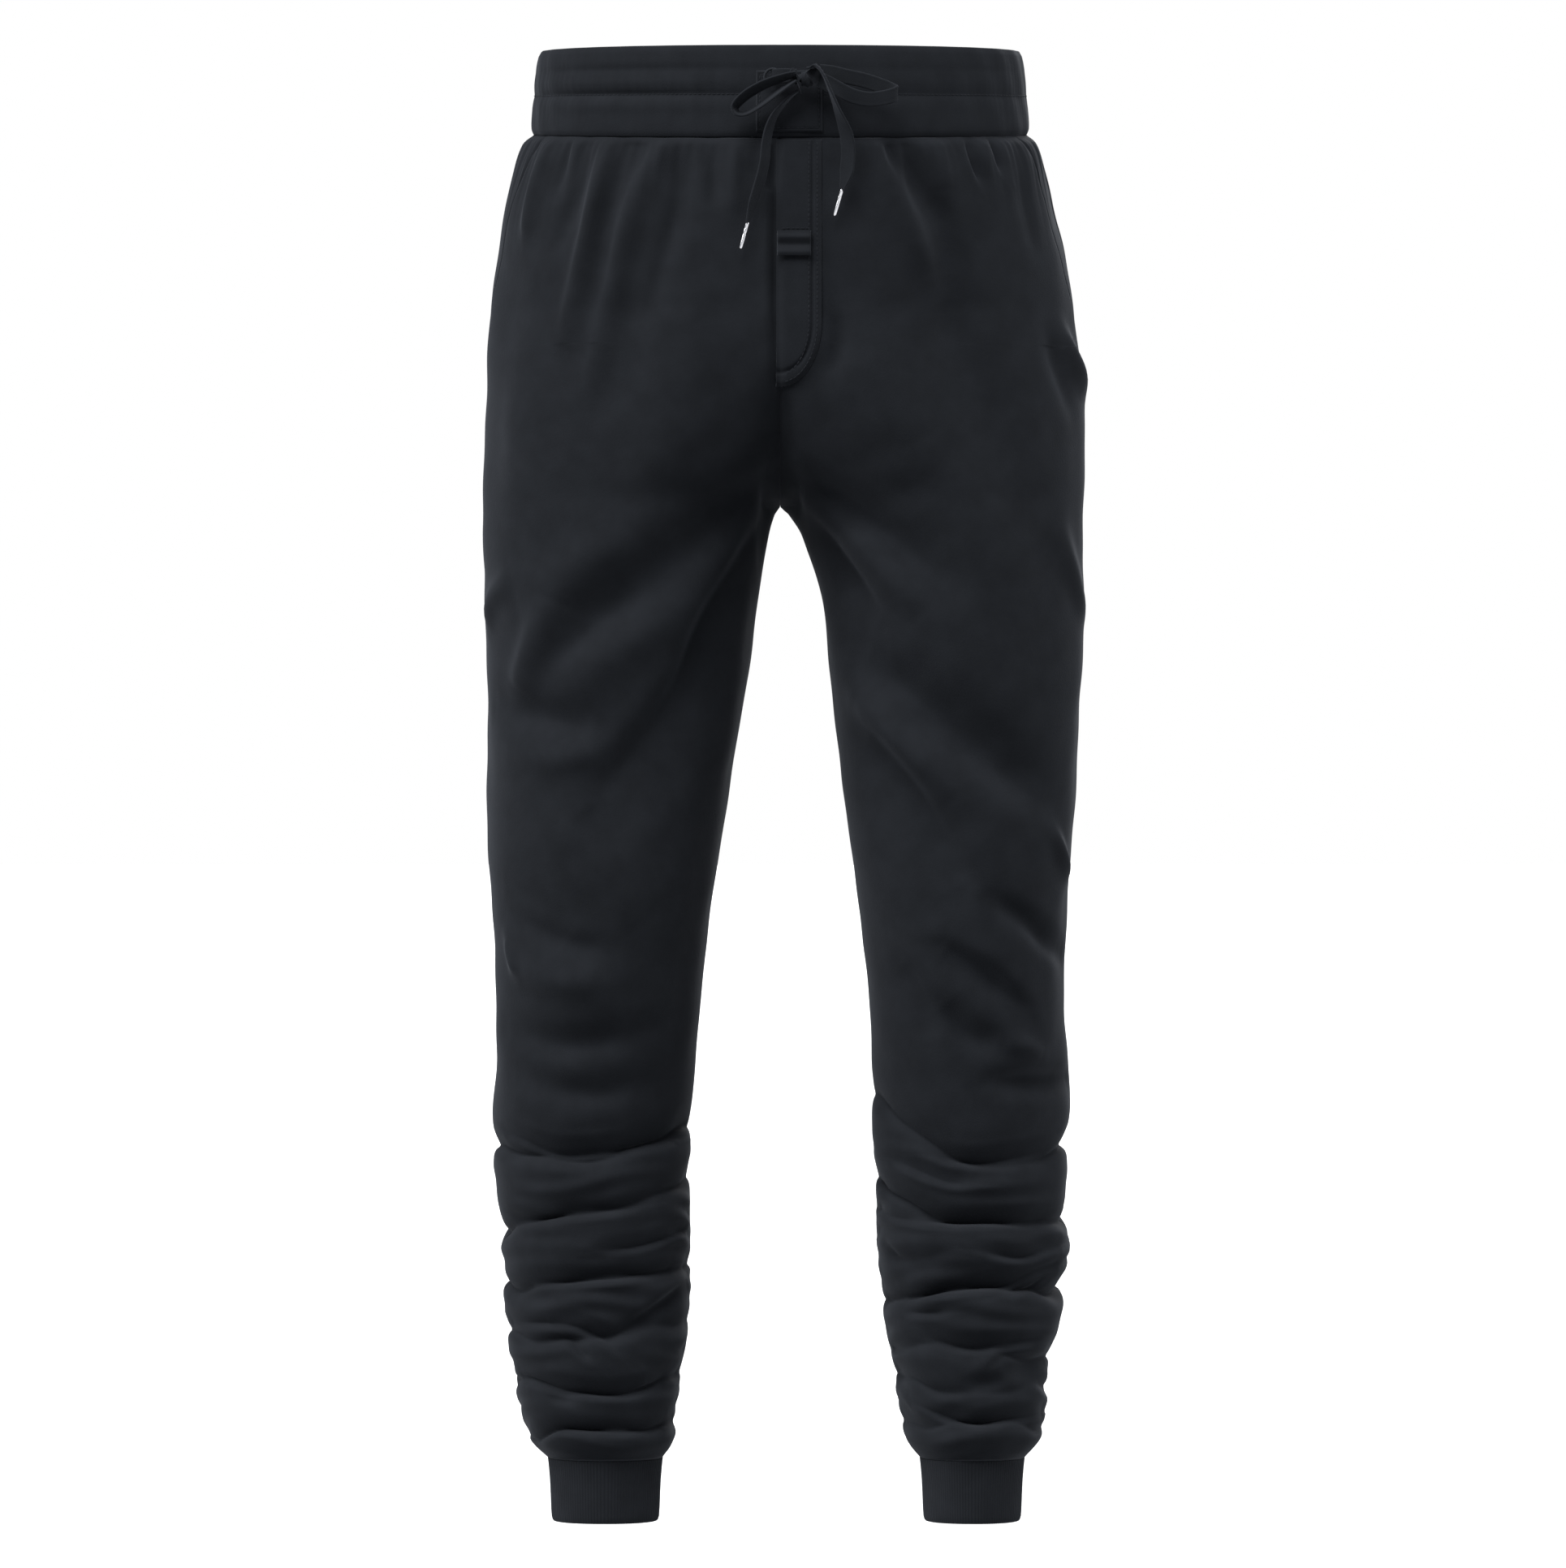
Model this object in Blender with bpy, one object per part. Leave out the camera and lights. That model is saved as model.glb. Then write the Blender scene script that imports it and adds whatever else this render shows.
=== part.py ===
"""Jogger sweatpants, filled out and hollow, as they are worn.

Metres, +Z up, +X the wearer's left, the front faces -Y. The origin is the middle of the waistband.
Each leg and each half of the seat is a stack of rounded sections. A front and a back panel share
each section: they meet at the side seam and at the inseam, and above the crotch at the centre seams.
"""

import math
from collections import namedtuple

import bmesh
import bpy
from mathutils import Vector

# ---------------------------------------------------------------- driving dimensions
WALL = 0.002
SEAM_GAP = 0.0003
ROUNDNESS = 2.2  # power of the sections: 2 is an ellipse, more is squarer

BAND_WALL = 3.0  # mm, as the profile below
BAND_TOP = 0.0265
BAND_BOTTOM = -0.0290
BAND_TOP_TILT = 0.030  # rise for each metre towards the back
BAND_BOTTOM_TILT = 0.085
BAND_SEGMENTS = 40

PANEL_TOP = BAND_BOTTOM - SEAM_GAP
CROTCH = -0.281
SEAT_SPLIT = -0.150  # where the two halves of the seat begin to part
SPLIT_POWER = 1.25
STACK_TOP = -0.660  # the stacked folds begin below this
PANEL_BOTTOM = -0.9243
PANEL_COLUMNS = 8
SEAT_ROWS = 13
LEG_ROWS = 11
STACK_ROWS = 25
TILT_FADE = 0.060  # the waist's tilt dies out over this height

POCKET_BOTTOM = -0.175
POCKET_ANGLE_TOP = math.radians(70)
POCKET_ANGLE_BOTTOM = math.radians(86)
FACING_COLUMNS = 3

FOLD_WIDTH = 0.0095

CUFF_TOP = PANEL_BOTTOM - SEAM_GAP
CUFF_BOTTOM = -0.967
CUFF_SEGMENTS = 20

PLACKET_LEFT = -0.0025
PLACKET_RIGHT = 0.0275
PLACKET_TOP = -0.0305
PLACKET_CURVE = -0.163
PLACKET_BOTTOM = -0.2045
PLACKET_WALL = 0.002
TAB_RIGHT = 0.0205
TAB_TOP = -0.1015
TAB_BOTTOM = -0.1180
TAB_WALL = 0.0018

PATCH_LEFT = -0.016
PATCH_RIGHT = 0.028
PATCH_TOP_SHARE = 0.72
PATCH_BOTTOM_SHARE = 0.06
PATCH_WALL = 0.0012

TAPE_WIDTH = 0.010
TAPE_THICKNESS = 0.0016
TAPE_STEP = 0.0035
TAPE_TIP_WIDTH = 0.0026
TAPE_TAPER = 0.014
BOW_LEVEL = -0.009  # the drawstring's heights are measured from here
KNOT_CENTRE = (0.0180, -0.1265, 0.0080 + BOW_LEVEL)
KNOT_RADII = (0.0062, 0.0050, 0.0048)
AGLET_LENGTH = 0.017
AGLET_RADIUS = 0.0014
AGLET_SIDES = 10

# Each row is one level: how far the outer and inner edges of each leg lie from the centre plane,
# and the front and back. Above the crotch the inner edges are not used.
Section = namedtuple("Section", "z out_left in_left out_right in_right front back")
SECTIONS = (
    Section(-0.0293, 0.1680, 0.0, 0.1680, 0.0, -0.1160, 0.1150),
    Section(-0.0360, 0.1745, 0.0, 0.1730, 0.0, -0.1185, 0.1180),
    Section(-0.0500, 0.1795, 0.0, 0.1785, 0.0, -0.1205, 0.1210),
    Section(-0.0800, 0.1855, 0.0, 0.1865, 0.0, -0.1230, 0.1270),
    Section(-0.1200, 0.1940, 0.0, 0.1922, 0.0, -0.1245, 0.1350),
    Section(-0.1700, 0.2015, 0.0, 0.1975, 0.0, -0.1235, 0.1405),
    Section(-0.2200, 0.2055, 0.0, 0.1995, 0.0, -0.1185, 0.1380),
    Section(-0.2600, 0.2055, 0.0, 0.2005, 0.0, -0.1130, 0.1290),
    Section(CROTCH, 0.2052, 0.0000, 0.2010, 0.0000, -0.1095, 0.1220),
    Section(-0.2860, 0.2052, 0.0060, 0.2012, 0.0042, -0.1088, 0.1205),
    Section(-0.3000, 0.2052, 0.0150, 0.2018, 0.0078, -0.1075, 0.1165),
    Section(-0.3400, 0.2055, 0.0270, 0.2005, 0.0142, -0.1050, 0.1090),
    Section(-0.3900, 0.2045, 0.0330, 0.1985, 0.0213, -0.1020, 0.1020),
    Section(-0.4500, 0.2012, 0.0396, 0.1984, 0.0310, -0.0975, 0.0920),
    Section(-0.5240, 0.1965, 0.0490, 0.1965, 0.0429, -0.0925, 0.0800),
    Section(-0.6000, 0.1915, 0.0592, 0.1915, 0.0528, -0.0830, 0.0760),
    Section(-0.6600, 0.1950, 0.0622, 0.1925, 0.0575, -0.0690, 0.0830),
    Section(-0.7000, 0.1952, 0.0626, 0.1950, 0.0605, -0.0620, 0.0870),
    Section(-0.7500, 0.1940, 0.0643, 0.1922, 0.0605, -0.0590, 0.0880),
    Section(-0.7870, 0.1952, 0.0662, 0.1895, 0.0602, -0.0570, 0.0860),
    Section(-0.8380, 0.1892, 0.0710, 0.1862, 0.0620, -0.0545, 0.0810),
    Section(-0.8700, 0.1820, 0.0765, 0.1805, 0.0665, -0.0525, 0.0755),
    Section(-0.8980, 0.1795, 0.0815, 0.1752, 0.0710, -0.0505, 0.0700),
    Section(-0.9120, 0.1757, 0.0850, 0.1705, 0.0715, -0.0480, 0.0650),
    Section(PANEL_BOTTOM, 0.1655, 0.0945, 0.1572, 0.0795, -0.0365, 0.0500),
)

# Each row is one fold that runs round a leg: its height and its depth in mm at the inseam, the
# front, the side seam and the back.
Fold = namedtuple("Fold", "z_in z_front z_out z_back d_in d_front d_out d_back")
FOLDS_LEFT = (
    Fold(-0.6780, -0.7200, -0.7120, -0.7000, 3.5, 5.0, 5.0, 5.0),
    Fold(-0.7370, -0.7620, -0.7600, -0.7480, 4.5, 7.5, 4.5, 6.0),
    Fold(-0.8150, -0.8060, -0.8090, -0.8000, 4.5, 7.5, 7.5, 6.0),
    Fold(-0.8500, -0.8475, -0.8570, -0.8420, 2.0, 4.0, 4.0, 4.5),
    Fold(-0.8680, -0.8760, -0.8740, -0.8720, 5.0, 3.0, 2.0, 3.0),
    Fold(-0.9000, -0.8975, -0.9020, -0.8980, 2.5, 5.0, 1.5, 4.0),
)
FOLDS_RIGHT = (
    Fold(-0.7000, -0.7170, -0.7130, -0.7060, 4.5, 8.0, 4.5, 6.0),
    Fold(-0.7370, -0.7530, -0.7680, -0.7480, 4.5, 4.5, 6.0, 5.0),
    Fold(-0.7920, -0.8000, -0.8060, -0.7900, 4.0, 4.5, 5.0, 5.0),
    Fold(-0.8300, -0.8380, -0.8390, -0.8300, 2.0, 5.0, 3.5, 4.5),
    Fold(-0.8680, -0.8770, -0.8680, -0.8700, 3.0, 4.5, 2.0, 4.0),
    Fold(-0.9000, -0.9010, -0.9080, -0.9000, 1.5, 5.0, 2.5, 4.0),
)

# The waistband's profile: share of its height, and how far it stands out, in mm.
BandPoint = namedtuple("BandPoint", "share out")
BAND_OUTSIDE = (
    BandPoint(0.00, 0.0),
    BandPoint(0.20, 1.6),
    BandPoint(0.465, 0.0),
    BandPoint(0.72, 1.0),
    BandPoint(0.93, -0.6),
    BandPoint(1.00, -2.2),
)
BAND_INSIDE = (BandPoint(0.95, -BAND_WALL - 1.6), BandPoint(0.465, -BAND_WALL), BandPoint(0.00, -BAND_WALL))
BAND_LEAN = 0.0045  # the top is this much narrower than the bottom, at each side

# A cuff's profile: share of its height from the top, and how far it stands out, in mm.
CUFF_PROFILE = (
    BandPoint(0.00, 0.0),
    BandPoint(0.35, -1.4),
    BandPoint(0.80, -2.2),
    BandPoint(0.96, -2.9),
    BandPoint(1.00, -3.9),
    BandPoint(0.96, -5.0),
    BandPoint(0.35, -4.2),
    BandPoint(0.00, -2.8),
)

# The drawstring's routes, with z measured from BOW_LEVEL. Roll turns the tape about its run, in
# degrees: at 0 its width points along the cord's own "across" direction.
Stop = namedtuple("Stop", "x y z roll")
LEAD_LEFT = (
    Stop(-0.0050, -0.1200, 0.0100, 90),
    Stop(-0.0035, -0.1225, 0.0102, 90),
    Stop(0.0010, -0.1245, 0.0104, 90),
    Stop(0.0060, -0.1252, 0.0102, 90),
    Stop(0.0108, -0.1258, 0.0099, 90),
)
LOOP_LEFT = (
    Stop(0.0105, -0.1320, 0.0112, 14),
    Stop(0.0050, -0.1318, 0.0098, 22),
    Stop(-0.0090, -0.1305, 0.0050, 32),
    Stop(-0.0200, -0.1295, -0.0008, 36),
    Stop(-0.0272, -0.1290, -0.0066, 34),
    Stop(-0.0302, -0.1288, -0.0110, 28),
    Stop(-0.0285, -0.1288, -0.0146, 20),
    Stop(-0.0236, -0.1290, -0.0152, 16),
    Stop(-0.0170, -0.1297, -0.0122, 16),
    Stop(-0.0085, -0.1308, -0.0064, 18),
    Stop(0.0000, -0.1318, 0.0000, 18),
    Stop(0.0065, -0.1322, 0.0045, 14),
    Stop(0.0105, -0.1322, 0.0068, 8),
)
END_LEFT = (
    Stop(0.0125, -0.1262, 0.0010, 0),
    Stop(0.0070, -0.1270, -0.0035, 5),
    Stop(0.0012, -0.1278, -0.0095, 12),
    Stop(-0.0040, -0.1284, -0.0165, 22),
    Stop(-0.0075, -0.1290, -0.0255, 32),
    Stop(-0.0094, -0.1298, -0.0360, 36),
    Stop(-0.0102, -0.1304, -0.0460, 38),
    Stop(-0.0125, -0.1308, -0.0565, 38),
    Stop(-0.0160, -0.1311, -0.0680, 36),
    Stop(-0.0192, -0.1313, -0.0785, 34),
    Stop(-0.0218, -0.1314, -0.0882, 34),
)
LEAD_RIGHT = (
    Stop(0.0330, -0.1198, 0.0060, 90),
    Stop(0.0322, -0.1216, 0.0062, 90),
    Stop(0.0300, -0.1225, 0.0066, 90),
    Stop(0.0262, -0.1228, 0.0072, 90),
)
LOOP_RIGHT = (
    Stop(0.0262, -0.1264, 0.0130, 0),
    Stop(0.0340, -0.1264, 0.0122, 2),
    Stop(0.0440, -0.1262, 0.0098, 6),
    Stop(0.0560, -0.1256, 0.0072, 8),
    Stop(0.0670, -0.1256, 0.0036, 6),
    Stop(0.0745, -0.1266, 0.0004, 2),
    Stop(0.0772, -0.1296, -0.0014, 0),
    Stop(0.0752, -0.1328, -0.0030, -4),
    Stop(0.0680, -0.1344, -0.0050, -8),
    Stop(0.0580, -0.1348, -0.0058, -10),
    Stop(0.0480, -0.1346, -0.0036, -10),
    Stop(0.0390, -0.1340, 0.0008, -6),
    Stop(0.0310, -0.1330, 0.0052, -2),
    Stop(0.0262, -0.1322, 0.0074, 0),
)
END_RIGHT = (
    Stop(0.0205, -0.1350, 0.0150, 0),
    Stop(0.0245, -0.1385, 0.0150, 0),
    Stop(0.0292, -0.1425, 0.0085, -2),
    Stop(0.0328, -0.1425, 0.0000, -6),
    Stop(0.0358, -0.1415, -0.0075, -12),
    Stop(0.0382, -0.1400, -0.0140, -22),
    Stop(0.0412, -0.1382, -0.0215, -38),
    Stop(0.0438, -0.1366, -0.0290, -56),
    Stop(0.0450, -0.1352, -0.0370, -68),
    Stop(0.0450, -0.1340, -0.0450, -70),
    Stop(0.0440, -0.1328, -0.0540, -70),
    Stop(0.0420, -0.1318, -0.0620, -68),
    Stop(0.0407, -0.1313, -0.0665, -68),
)

# ---------------------------------------------------------------- colours
CHARCOAL = (0.0205, 0.0225, 0.0265)
CHARCOAL_RIB = (0.0220, 0.0240, 0.0280)
TAPE_GREY = (0.0290, 0.0310, 0.0350)
TIP_METAL = (0.62, 0.62, 0.63)


def clear_scene():
    for obj in list(bpy.data.objects):
        bpy.data.objects.remove(obj, do_unlink=True)


def make_material(name, colour, roughness, metallic=0.0):
    material = bpy.data.materials.new(name)
    material.use_nodes = True
    shader = material.node_tree.nodes["Principled BSDF"]
    shader.inputs["Base Color"].default_value = (*colour, 1.0)
    shader.inputs["Roughness"].default_value = roughness
    shader.inputs["Metallic"].default_value = metallic
    return material


# ---------------------------------------------------------------- smooth reading of the tables
def smooth_between(keys, values, key):
    """A smooth curve through the values, each at its key. The keys rise or fall throughout."""
    turn = 1 if keys[-1] > keys[0] else -1
    last = len(keys) - 2
    i = 0
    while i < last and (key - keys[i + 1]) * turn > 0:
        i += 1

    def slope(j):
        low = max(j - 1, 0)
        high = min(j + 1, len(keys) - 1)
        return (values[high] - values[low]) / (keys[high] - keys[low])

    span = keys[i + 1] - keys[i]
    t = min(max((key - keys[i]) / span, 0.0), 1.0)
    start = (1 + 2 * t) * (1 - t) ** 2 * values[i]
    end = t * t * (3 - 2 * t) * values[i + 1]
    bends = t * (1 - t) ** 2 * slope(i) - t * t * (1 - t) * slope(i + 1)
    return start + end + bends * span


def section_value(column, z):
    return smooth_between([row.z for row in SECTIONS], [getattr(row, column) for row in SECTIONS], z)


def seat_split(z):
    """0 where the seat is one body, 1 at the crotch, where it has become two legs."""
    share = (SEAT_SPLIT - z) / (SEAT_SPLIT - CROTCH)
    return min(max(share, 0.0), 1.0) ** SPLIT_POWER


def leg_section(side, z):
    """The leg's or half seat's middle x, half width, middle y and half depth at a level."""
    name = "left" if side > 0 else "right"
    outer = section_value("out_" + name, z)
    front = section_value("front", z)
    back = section_value("back", z)
    if z > CROTCH:
        half = outer / (1 + seat_split(z))
        middle = outer - half
    else:
        inner = max(section_value("in_" + name, z), SEAM_GAP / 2)
        half = (outer - inner) / 2
        middle = (outer + inner) / 2
    return middle, half, (front + back) / 2, (back - front) / 2


def around(inside, front, outside, back, angle):
    """A smooth value round a leg. The angle is 0 at the inseam, 90 degrees at the front."""
    mean = (inside + front + outside + back) / 4
    second = ((inside + outside) - (front + back)) / 4
    return (
        mean
        + (inside - outside) / 2 * math.cos(angle)
        + (front - back) / 2 * math.sin(angle)
        + second * math.cos(2 * angle)
    )


def fold_depth(side, z, angle):
    """How far the folds round the lower leg draw the cloth in."""
    depth = 0.0
    for fold in FOLDS_LEFT if side > 0 else FOLDS_RIGHT:
        level = around(fold.z_in, fold.z_front, fold.z_out, fold.z_back, angle)
        reach = around(fold.d_in, fold.d_front, fold.d_out, fold.d_back, angle)
        depth += 0.001 * max(reach, 0.0) * math.exp(-(((z - level) / FOLD_WIDTH) ** 2))
    return depth


def power_trig(value):
    return math.copysign(abs(value) ** (2 / ROUNDNESS), value)


def inner_angle(middle, half):
    """The section angle at which a half section reaches the centre seam."""
    share = min(max((middle - SEAM_GAP / 2) / half, 0.0), 1.0)
    return -math.asin(share ** (ROUNDNESS / 2))


def cloth_point(side, face, z, share, end_angle, inward, start_angle=None):
    """A point of a panel. Face is -1 for the front and 1 for the back; share runs from the inner
    edge to the outer edge; inward is the depth below the outer surface."""
    middle, half, middle_y, depth = leg_section(side, z)
    if start_angle is None:
        start_angle = inner_angle(middle, half - inward)
    angle = start_angle + share * (end_angle - start_angle)
    round_leg = math.pi / 2 + angle
    if face > 0:
        round_leg = -round_leg
    drawn = fold_depth(side, z, round_leg) + inward
    x = middle + (half - drawn) * power_trig(math.sin(angle))
    y = middle_y + face * (SEAM_GAP / 2 + (depth - drawn) * power_trig(math.cos(angle)))
    fade = max(0.0, 1 - (PANEL_TOP - z) / TILT_FADE)
    return Vector((side * max(x, SEAM_GAP / 2), y, z + BAND_BOTTOM_TILT * fade * y))


def pocket_angle(z):
    share = min((PANEL_TOP - z) / (PANEL_TOP - POCKET_BOTTOM), 1.0)
    return POCKET_ANGLE_TOP + share * (POCKET_ANGLE_BOTTOM - POCKET_ANGLE_TOP)


# ---------------------------------------------------------------- mesh making
def mesh_object(name, bm, material, smooth=True):
    bmesh.ops.recalc_face_normals(bm, faces=bm.faces[:])
    mesh = bpy.data.meshes.new(name)
    bm.to_mesh(mesh)
    bm.free()
    obj = bpy.data.objects.new(name, mesh)
    bpy.context.scene.collection.objects.link(obj)
    mesh.materials.append(material)
    if smooth:
        mesh.shade_smooth()
        mesh.set_sharp_from_angle(angle=math.radians(50))
    return obj


def sheet_object(name, outside, inside, material):
    """A sheet of cloth from two matching grids of points, closed round its rim."""
    bm = bmesh.new()
    layers = [[[bm.verts.new(p) for p in row] for row in grid] for grid in (outside, inside)]
    rows = len(outside)
    columns = len(outside[0])
    for layer in layers:
        for i in range(rows - 1):
            for j in range(columns - 1):
                bm.faces.new((layer[i][j], layer[i][j + 1], layer[i + 1][j + 1], layer[i + 1][j]))
    outer, inner = layers
    for i in range(rows - 1):
        for j in (0, columns - 1):
            bm.faces.new((outer[i][j], outer[i + 1][j], inner[i + 1][j], inner[i][j]))
    for j in range(columns - 1):
        for i in (0, rows - 1):
            bm.faces.new((outer[i][j], outer[i][j + 1], inner[i][j + 1], inner[i][j]))
    return mesh_object(name, bm, material)


def ring_object(name, rings, material):
    """A closed tube of cloth from rings of points that follow its profile, out and back in."""
    bm = bmesh.new()
    loops = [[bm.verts.new(p) for p in ring] for ring in rings]
    count = len(loops[0])
    for a, b in zip(loops, loops[1:] + loops[:1]):
        for i in range(count):
            k = (i + 1) % count
            bm.faces.new((a[i], a[k], b[k], b[i]))
    return mesh_object(name, bm, material)


# ---------------------------------------------------------------- the panels
def panel_levels():
    """Heights of a panel's rows: close together at the crotch and in the stacked folds."""
    levels = []
    for i in range(SEAT_ROWS):
        share = math.sin(math.pi / 2 * i / SEAT_ROWS)
        levels.append(PANEL_TOP + (CROTCH - PANEL_TOP) * share)
    for i in range(LEG_ROWS):
        share = (i / LEG_ROWS) ** 1.3
        levels.append(CROTCH + (STACK_TOP - CROTCH) * share)
    for i in range(STACK_ROWS + 1):
        levels.append(STACK_TOP + (PANEL_BOTTOM - STACK_TOP) * i / STACK_ROWS)
    return levels


def pocket_levels():
    above = [z for z in panel_levels() if z > POCKET_BOTTOM + 0.004]
    return above + [POCKET_BOTTOM]


def front_levels():
    """A front panel's rows, with the step at the lower end of the pocket mouth."""
    below = [z for z in panel_levels() if z < POCKET_BOTTOM - 0.004]
    return pocket_levels()[:-1] + [POCKET_BOTTOM - SEAM_GAP, POCKET_BOTTOM - 2 * SEAM_GAP] + below


def make_front(name, side, material):
    grids = []
    for inward in (0.0, WALL):
        grid = []
        for z in front_levels():
            mouth = z >= POCKET_BOTTOM - SEAM_GAP
            end = pocket_angle(z) if mouth else math.pi / 2
            row = [
                cloth_point(side, -1, z, j / PANEL_COLUMNS, end, inward) for j in range(PANEL_COLUMNS + 1)
            ]
            grid.append(row)
        grids.append(grid)
    return sheet_object(name, grids[0], grids[1], material)


def make_back(name, side, material):
    grids = []
    for inward in (0.0, WALL):
        grid = []
        for z in panel_levels():
            row = [
                cloth_point(side, 1, z, j / PANEL_COLUMNS, math.pi / 2, inward)
                for j in range(PANEL_COLUMNS + 1)
            ]
            grid.append(row)
        grids.append(grid)
    return sheet_object(name, grids[0], grids[1], material)


def make_pocket_facing(name, side, material):
    """The hip piece between the pocket mouth and the side seam, flush with the front panel."""
    grids = []
    for inward in (0.0, WALL):
        grid = []
        for z in pocket_levels():
            half = leg_section(side, z)[1]
            start = pocket_angle(z) + SEAM_GAP * 2 / half
            row = [
                cloth_point(side, -1, z, j / FACING_COLUMNS, math.pi / 2, inward, start)
                for j in range(FACING_COLUMNS + 1)
            ]
            grid.append(row)
        grids.append(grid)
    return sheet_object(name, grids[0], grids[1], material)


# ---------------------------------------------------------------- waistband and cuffs
def band_point(angle, share, out):
    """A point of the waistband at an angle round it, a share of its height, and out in metres."""
    base = SECTIONS[0]
    half = base.out_left - BAND_LEAN * share + out
    middle_y = (base.front + base.back) / 2
    depth = (base.back - base.front) / 2 - BAND_LEAN * share + out
    x = half * power_trig(math.sin(angle))
    y = middle_y - depth * power_trig(math.cos(angle))
    bottom = BAND_BOTTOM + BAND_BOTTOM_TILT * y
    top = BAND_TOP + BAND_TOP_TILT * y
    return Vector((x, y, bottom + (top - bottom) * share))


def make_waistband(material):
    rings = []
    for point in BAND_OUTSIDE + BAND_INSIDE:
        ring = []
        for i in range(BAND_SEGMENTS):
            angle = 2 * math.pi * i / BAND_SEGMENTS
            ring.append(band_point(angle, point.share, point.out * 0.001))
        rings.append(ring)
    return ring_object("waistband", rings, material)


def make_cuff(name, side, material):
    base = SECTIONS[-1]
    outer = base.out_left if side > 0 else base.out_right
    inner = base.in_left if side > 0 else base.in_right
    rings = []
    for share, out in CUFF_PROFILE:
        ring = []
        for i in range(CUFF_SEGMENTS):
            angle = 2 * math.pi * i / CUFF_SEGMENTS
            half = (outer - inner) / 2 + out * 0.001
            depth = (base.back - base.front) / 2 + out * 0.001
            x = (outer + inner) / 2 + half * power_trig(math.sin(angle))
            y = (base.front + base.back) / 2 - depth * power_trig(math.cos(angle))
            ring.append(Vector((side * x, y, CUFF_TOP + (CUFF_BOTTOM - CUFF_TOP) * share)))
        rings.append(ring)
    return ring_object(name, rings, material)


# ---------------------------------------------------------------- pieces that lie on the front
def front_surface(x, z, out):
    """The point of the front panels at a given x and level, moved out along -Y."""
    side = 1 if x >= 0 else -1
    middle, half, middle_y, depth = leg_section(side, z)
    share = min(abs(abs(x) - middle) / half, 1.0)
    y = middle_y - depth * (1 - share**ROUNDNESS) ** (1 / ROUNDNESS) - SEAM_GAP / 2 - out
    fade = max(0.0, 1 - (PANEL_TOP - z) / TILT_FADE)
    return Vector((x, y, z + BAND_BOTTOM_TILT * fade * y))


def placket_right_edge(z):
    """The placket's outer edge: straight, then a quarter round to the centre at its foot."""
    if z > PLACKET_CURVE:
        return PLACKET_RIGHT
    share = (PLACKET_CURVE - z) / (PLACKET_CURVE - PLACKET_BOTTOM)
    return PLACKET_LEFT + 0.003 + (PLACKET_RIGHT - PLACKET_LEFT - 0.003) * math.sqrt(max(1 - share**2, 0.0))


def placket_levels():
    straight = [PLACKET_TOP + (PLACKET_CURVE - PLACKET_TOP) * i / 8 for i in range(8)]
    curved = []
    for i in range(7):
        share = math.sin(math.pi / 2 * i / 6)
        curved.append(PLACKET_CURVE + (PLACKET_BOTTOM - PLACKET_CURVE) * share)
    return straight + curved


def make_placket(material):
    lift = 2 * SEAM_GAP
    grids = []
    for out in (lift + PLACKET_WALL, lift):
        grid = []
        for z in placket_levels():
            right = placket_right_edge(z)
            row = [front_surface(PLACKET_LEFT + (right - PLACKET_LEFT) * j / 4, z, out) for j in range(5)]
            grid.append(row)
        grids.append(grid)
    return sheet_object("fly_placket", grids[0], grids[1], material)


def make_tab(material):
    lift = 2 * SEAM_GAP + PLACKET_WALL + 2 * SEAM_GAP
    grids = []
    for out in (lift + TAB_WALL, lift):
        grid = []
        for i in range(3):
            z = TAB_TOP + (TAB_BOTTOM - TAB_TOP) * i / 2
            width = TAB_RIGHT - PLACKET_LEFT
            grid.append([front_surface(PLACKET_LEFT + width * j / 4, z, out) for j in range(5)])
        grids.append(grid)
    return sheet_object("fly_tab", grids[0], grids[1], material)


def band_bulge(share):
    """How far the waistband's outside stands out at a share of its height, in metres."""
    for a, b in zip(BAND_OUTSIDE, BAND_OUTSIDE[1:]):
        if share <= b.share:
            part = (share - a.share) / (b.share - a.share)
            return 0.001 * (a.out + part * (b.out - a.out))
    return 0.001 * BAND_OUTSIDE[-1].out


def make_patch(material):
    """The eyelet patch: a rectangle moved out from the waistband's own surface."""
    lift = 2 * SEAM_GAP
    half = SECTIONS[0].out_left
    shares = [PATCH_TOP_SHARE, 0.465, 0.20, PATCH_BOTTOM_SHARE]
    grids = []
    for out in (lift + PATCH_WALL, lift):
        grid = []
        for share in shares:
            row = []
            for j in range(6):
                x = PATCH_LEFT + (PATCH_RIGHT - PATCH_LEFT) * j / 5
                angle = math.asin(abs(x / half) ** (ROUNDNESS / 2)) * (1 if x > 0 else -1)
                row.append(band_point(angle, share, band_bulge(share) + out))
            grid.append(row)
        grids.append(grid)
    return sheet_object("eyelet_patch", grids[0], grids[1], material)


# ---------------------------------------------------------------- the drawstring
def read_route(stops):
    """Evenly spaced points and rolls on a smooth curve through a route's stops."""
    lengths = [0.0]
    for a, b in zip(stops, stops[1:]):
        lengths.append(lengths[-1] + math.dist(a[:3], b[:3]))
    count = max(4, round(lengths[-1] / TAPE_STEP))
    points = []
    rolls = []
    for i in range(count + 1):
        at = lengths[-1] * i / count
        values = [smooth_between(lengths, [stop[k] for stop in stops], at) for k in range(4)]
        points.append(Vector((values[0], values[1], values[2] + BOW_LEVEL)))
        rolls.append(math.radians(values[3]))
    return points, rolls


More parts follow.
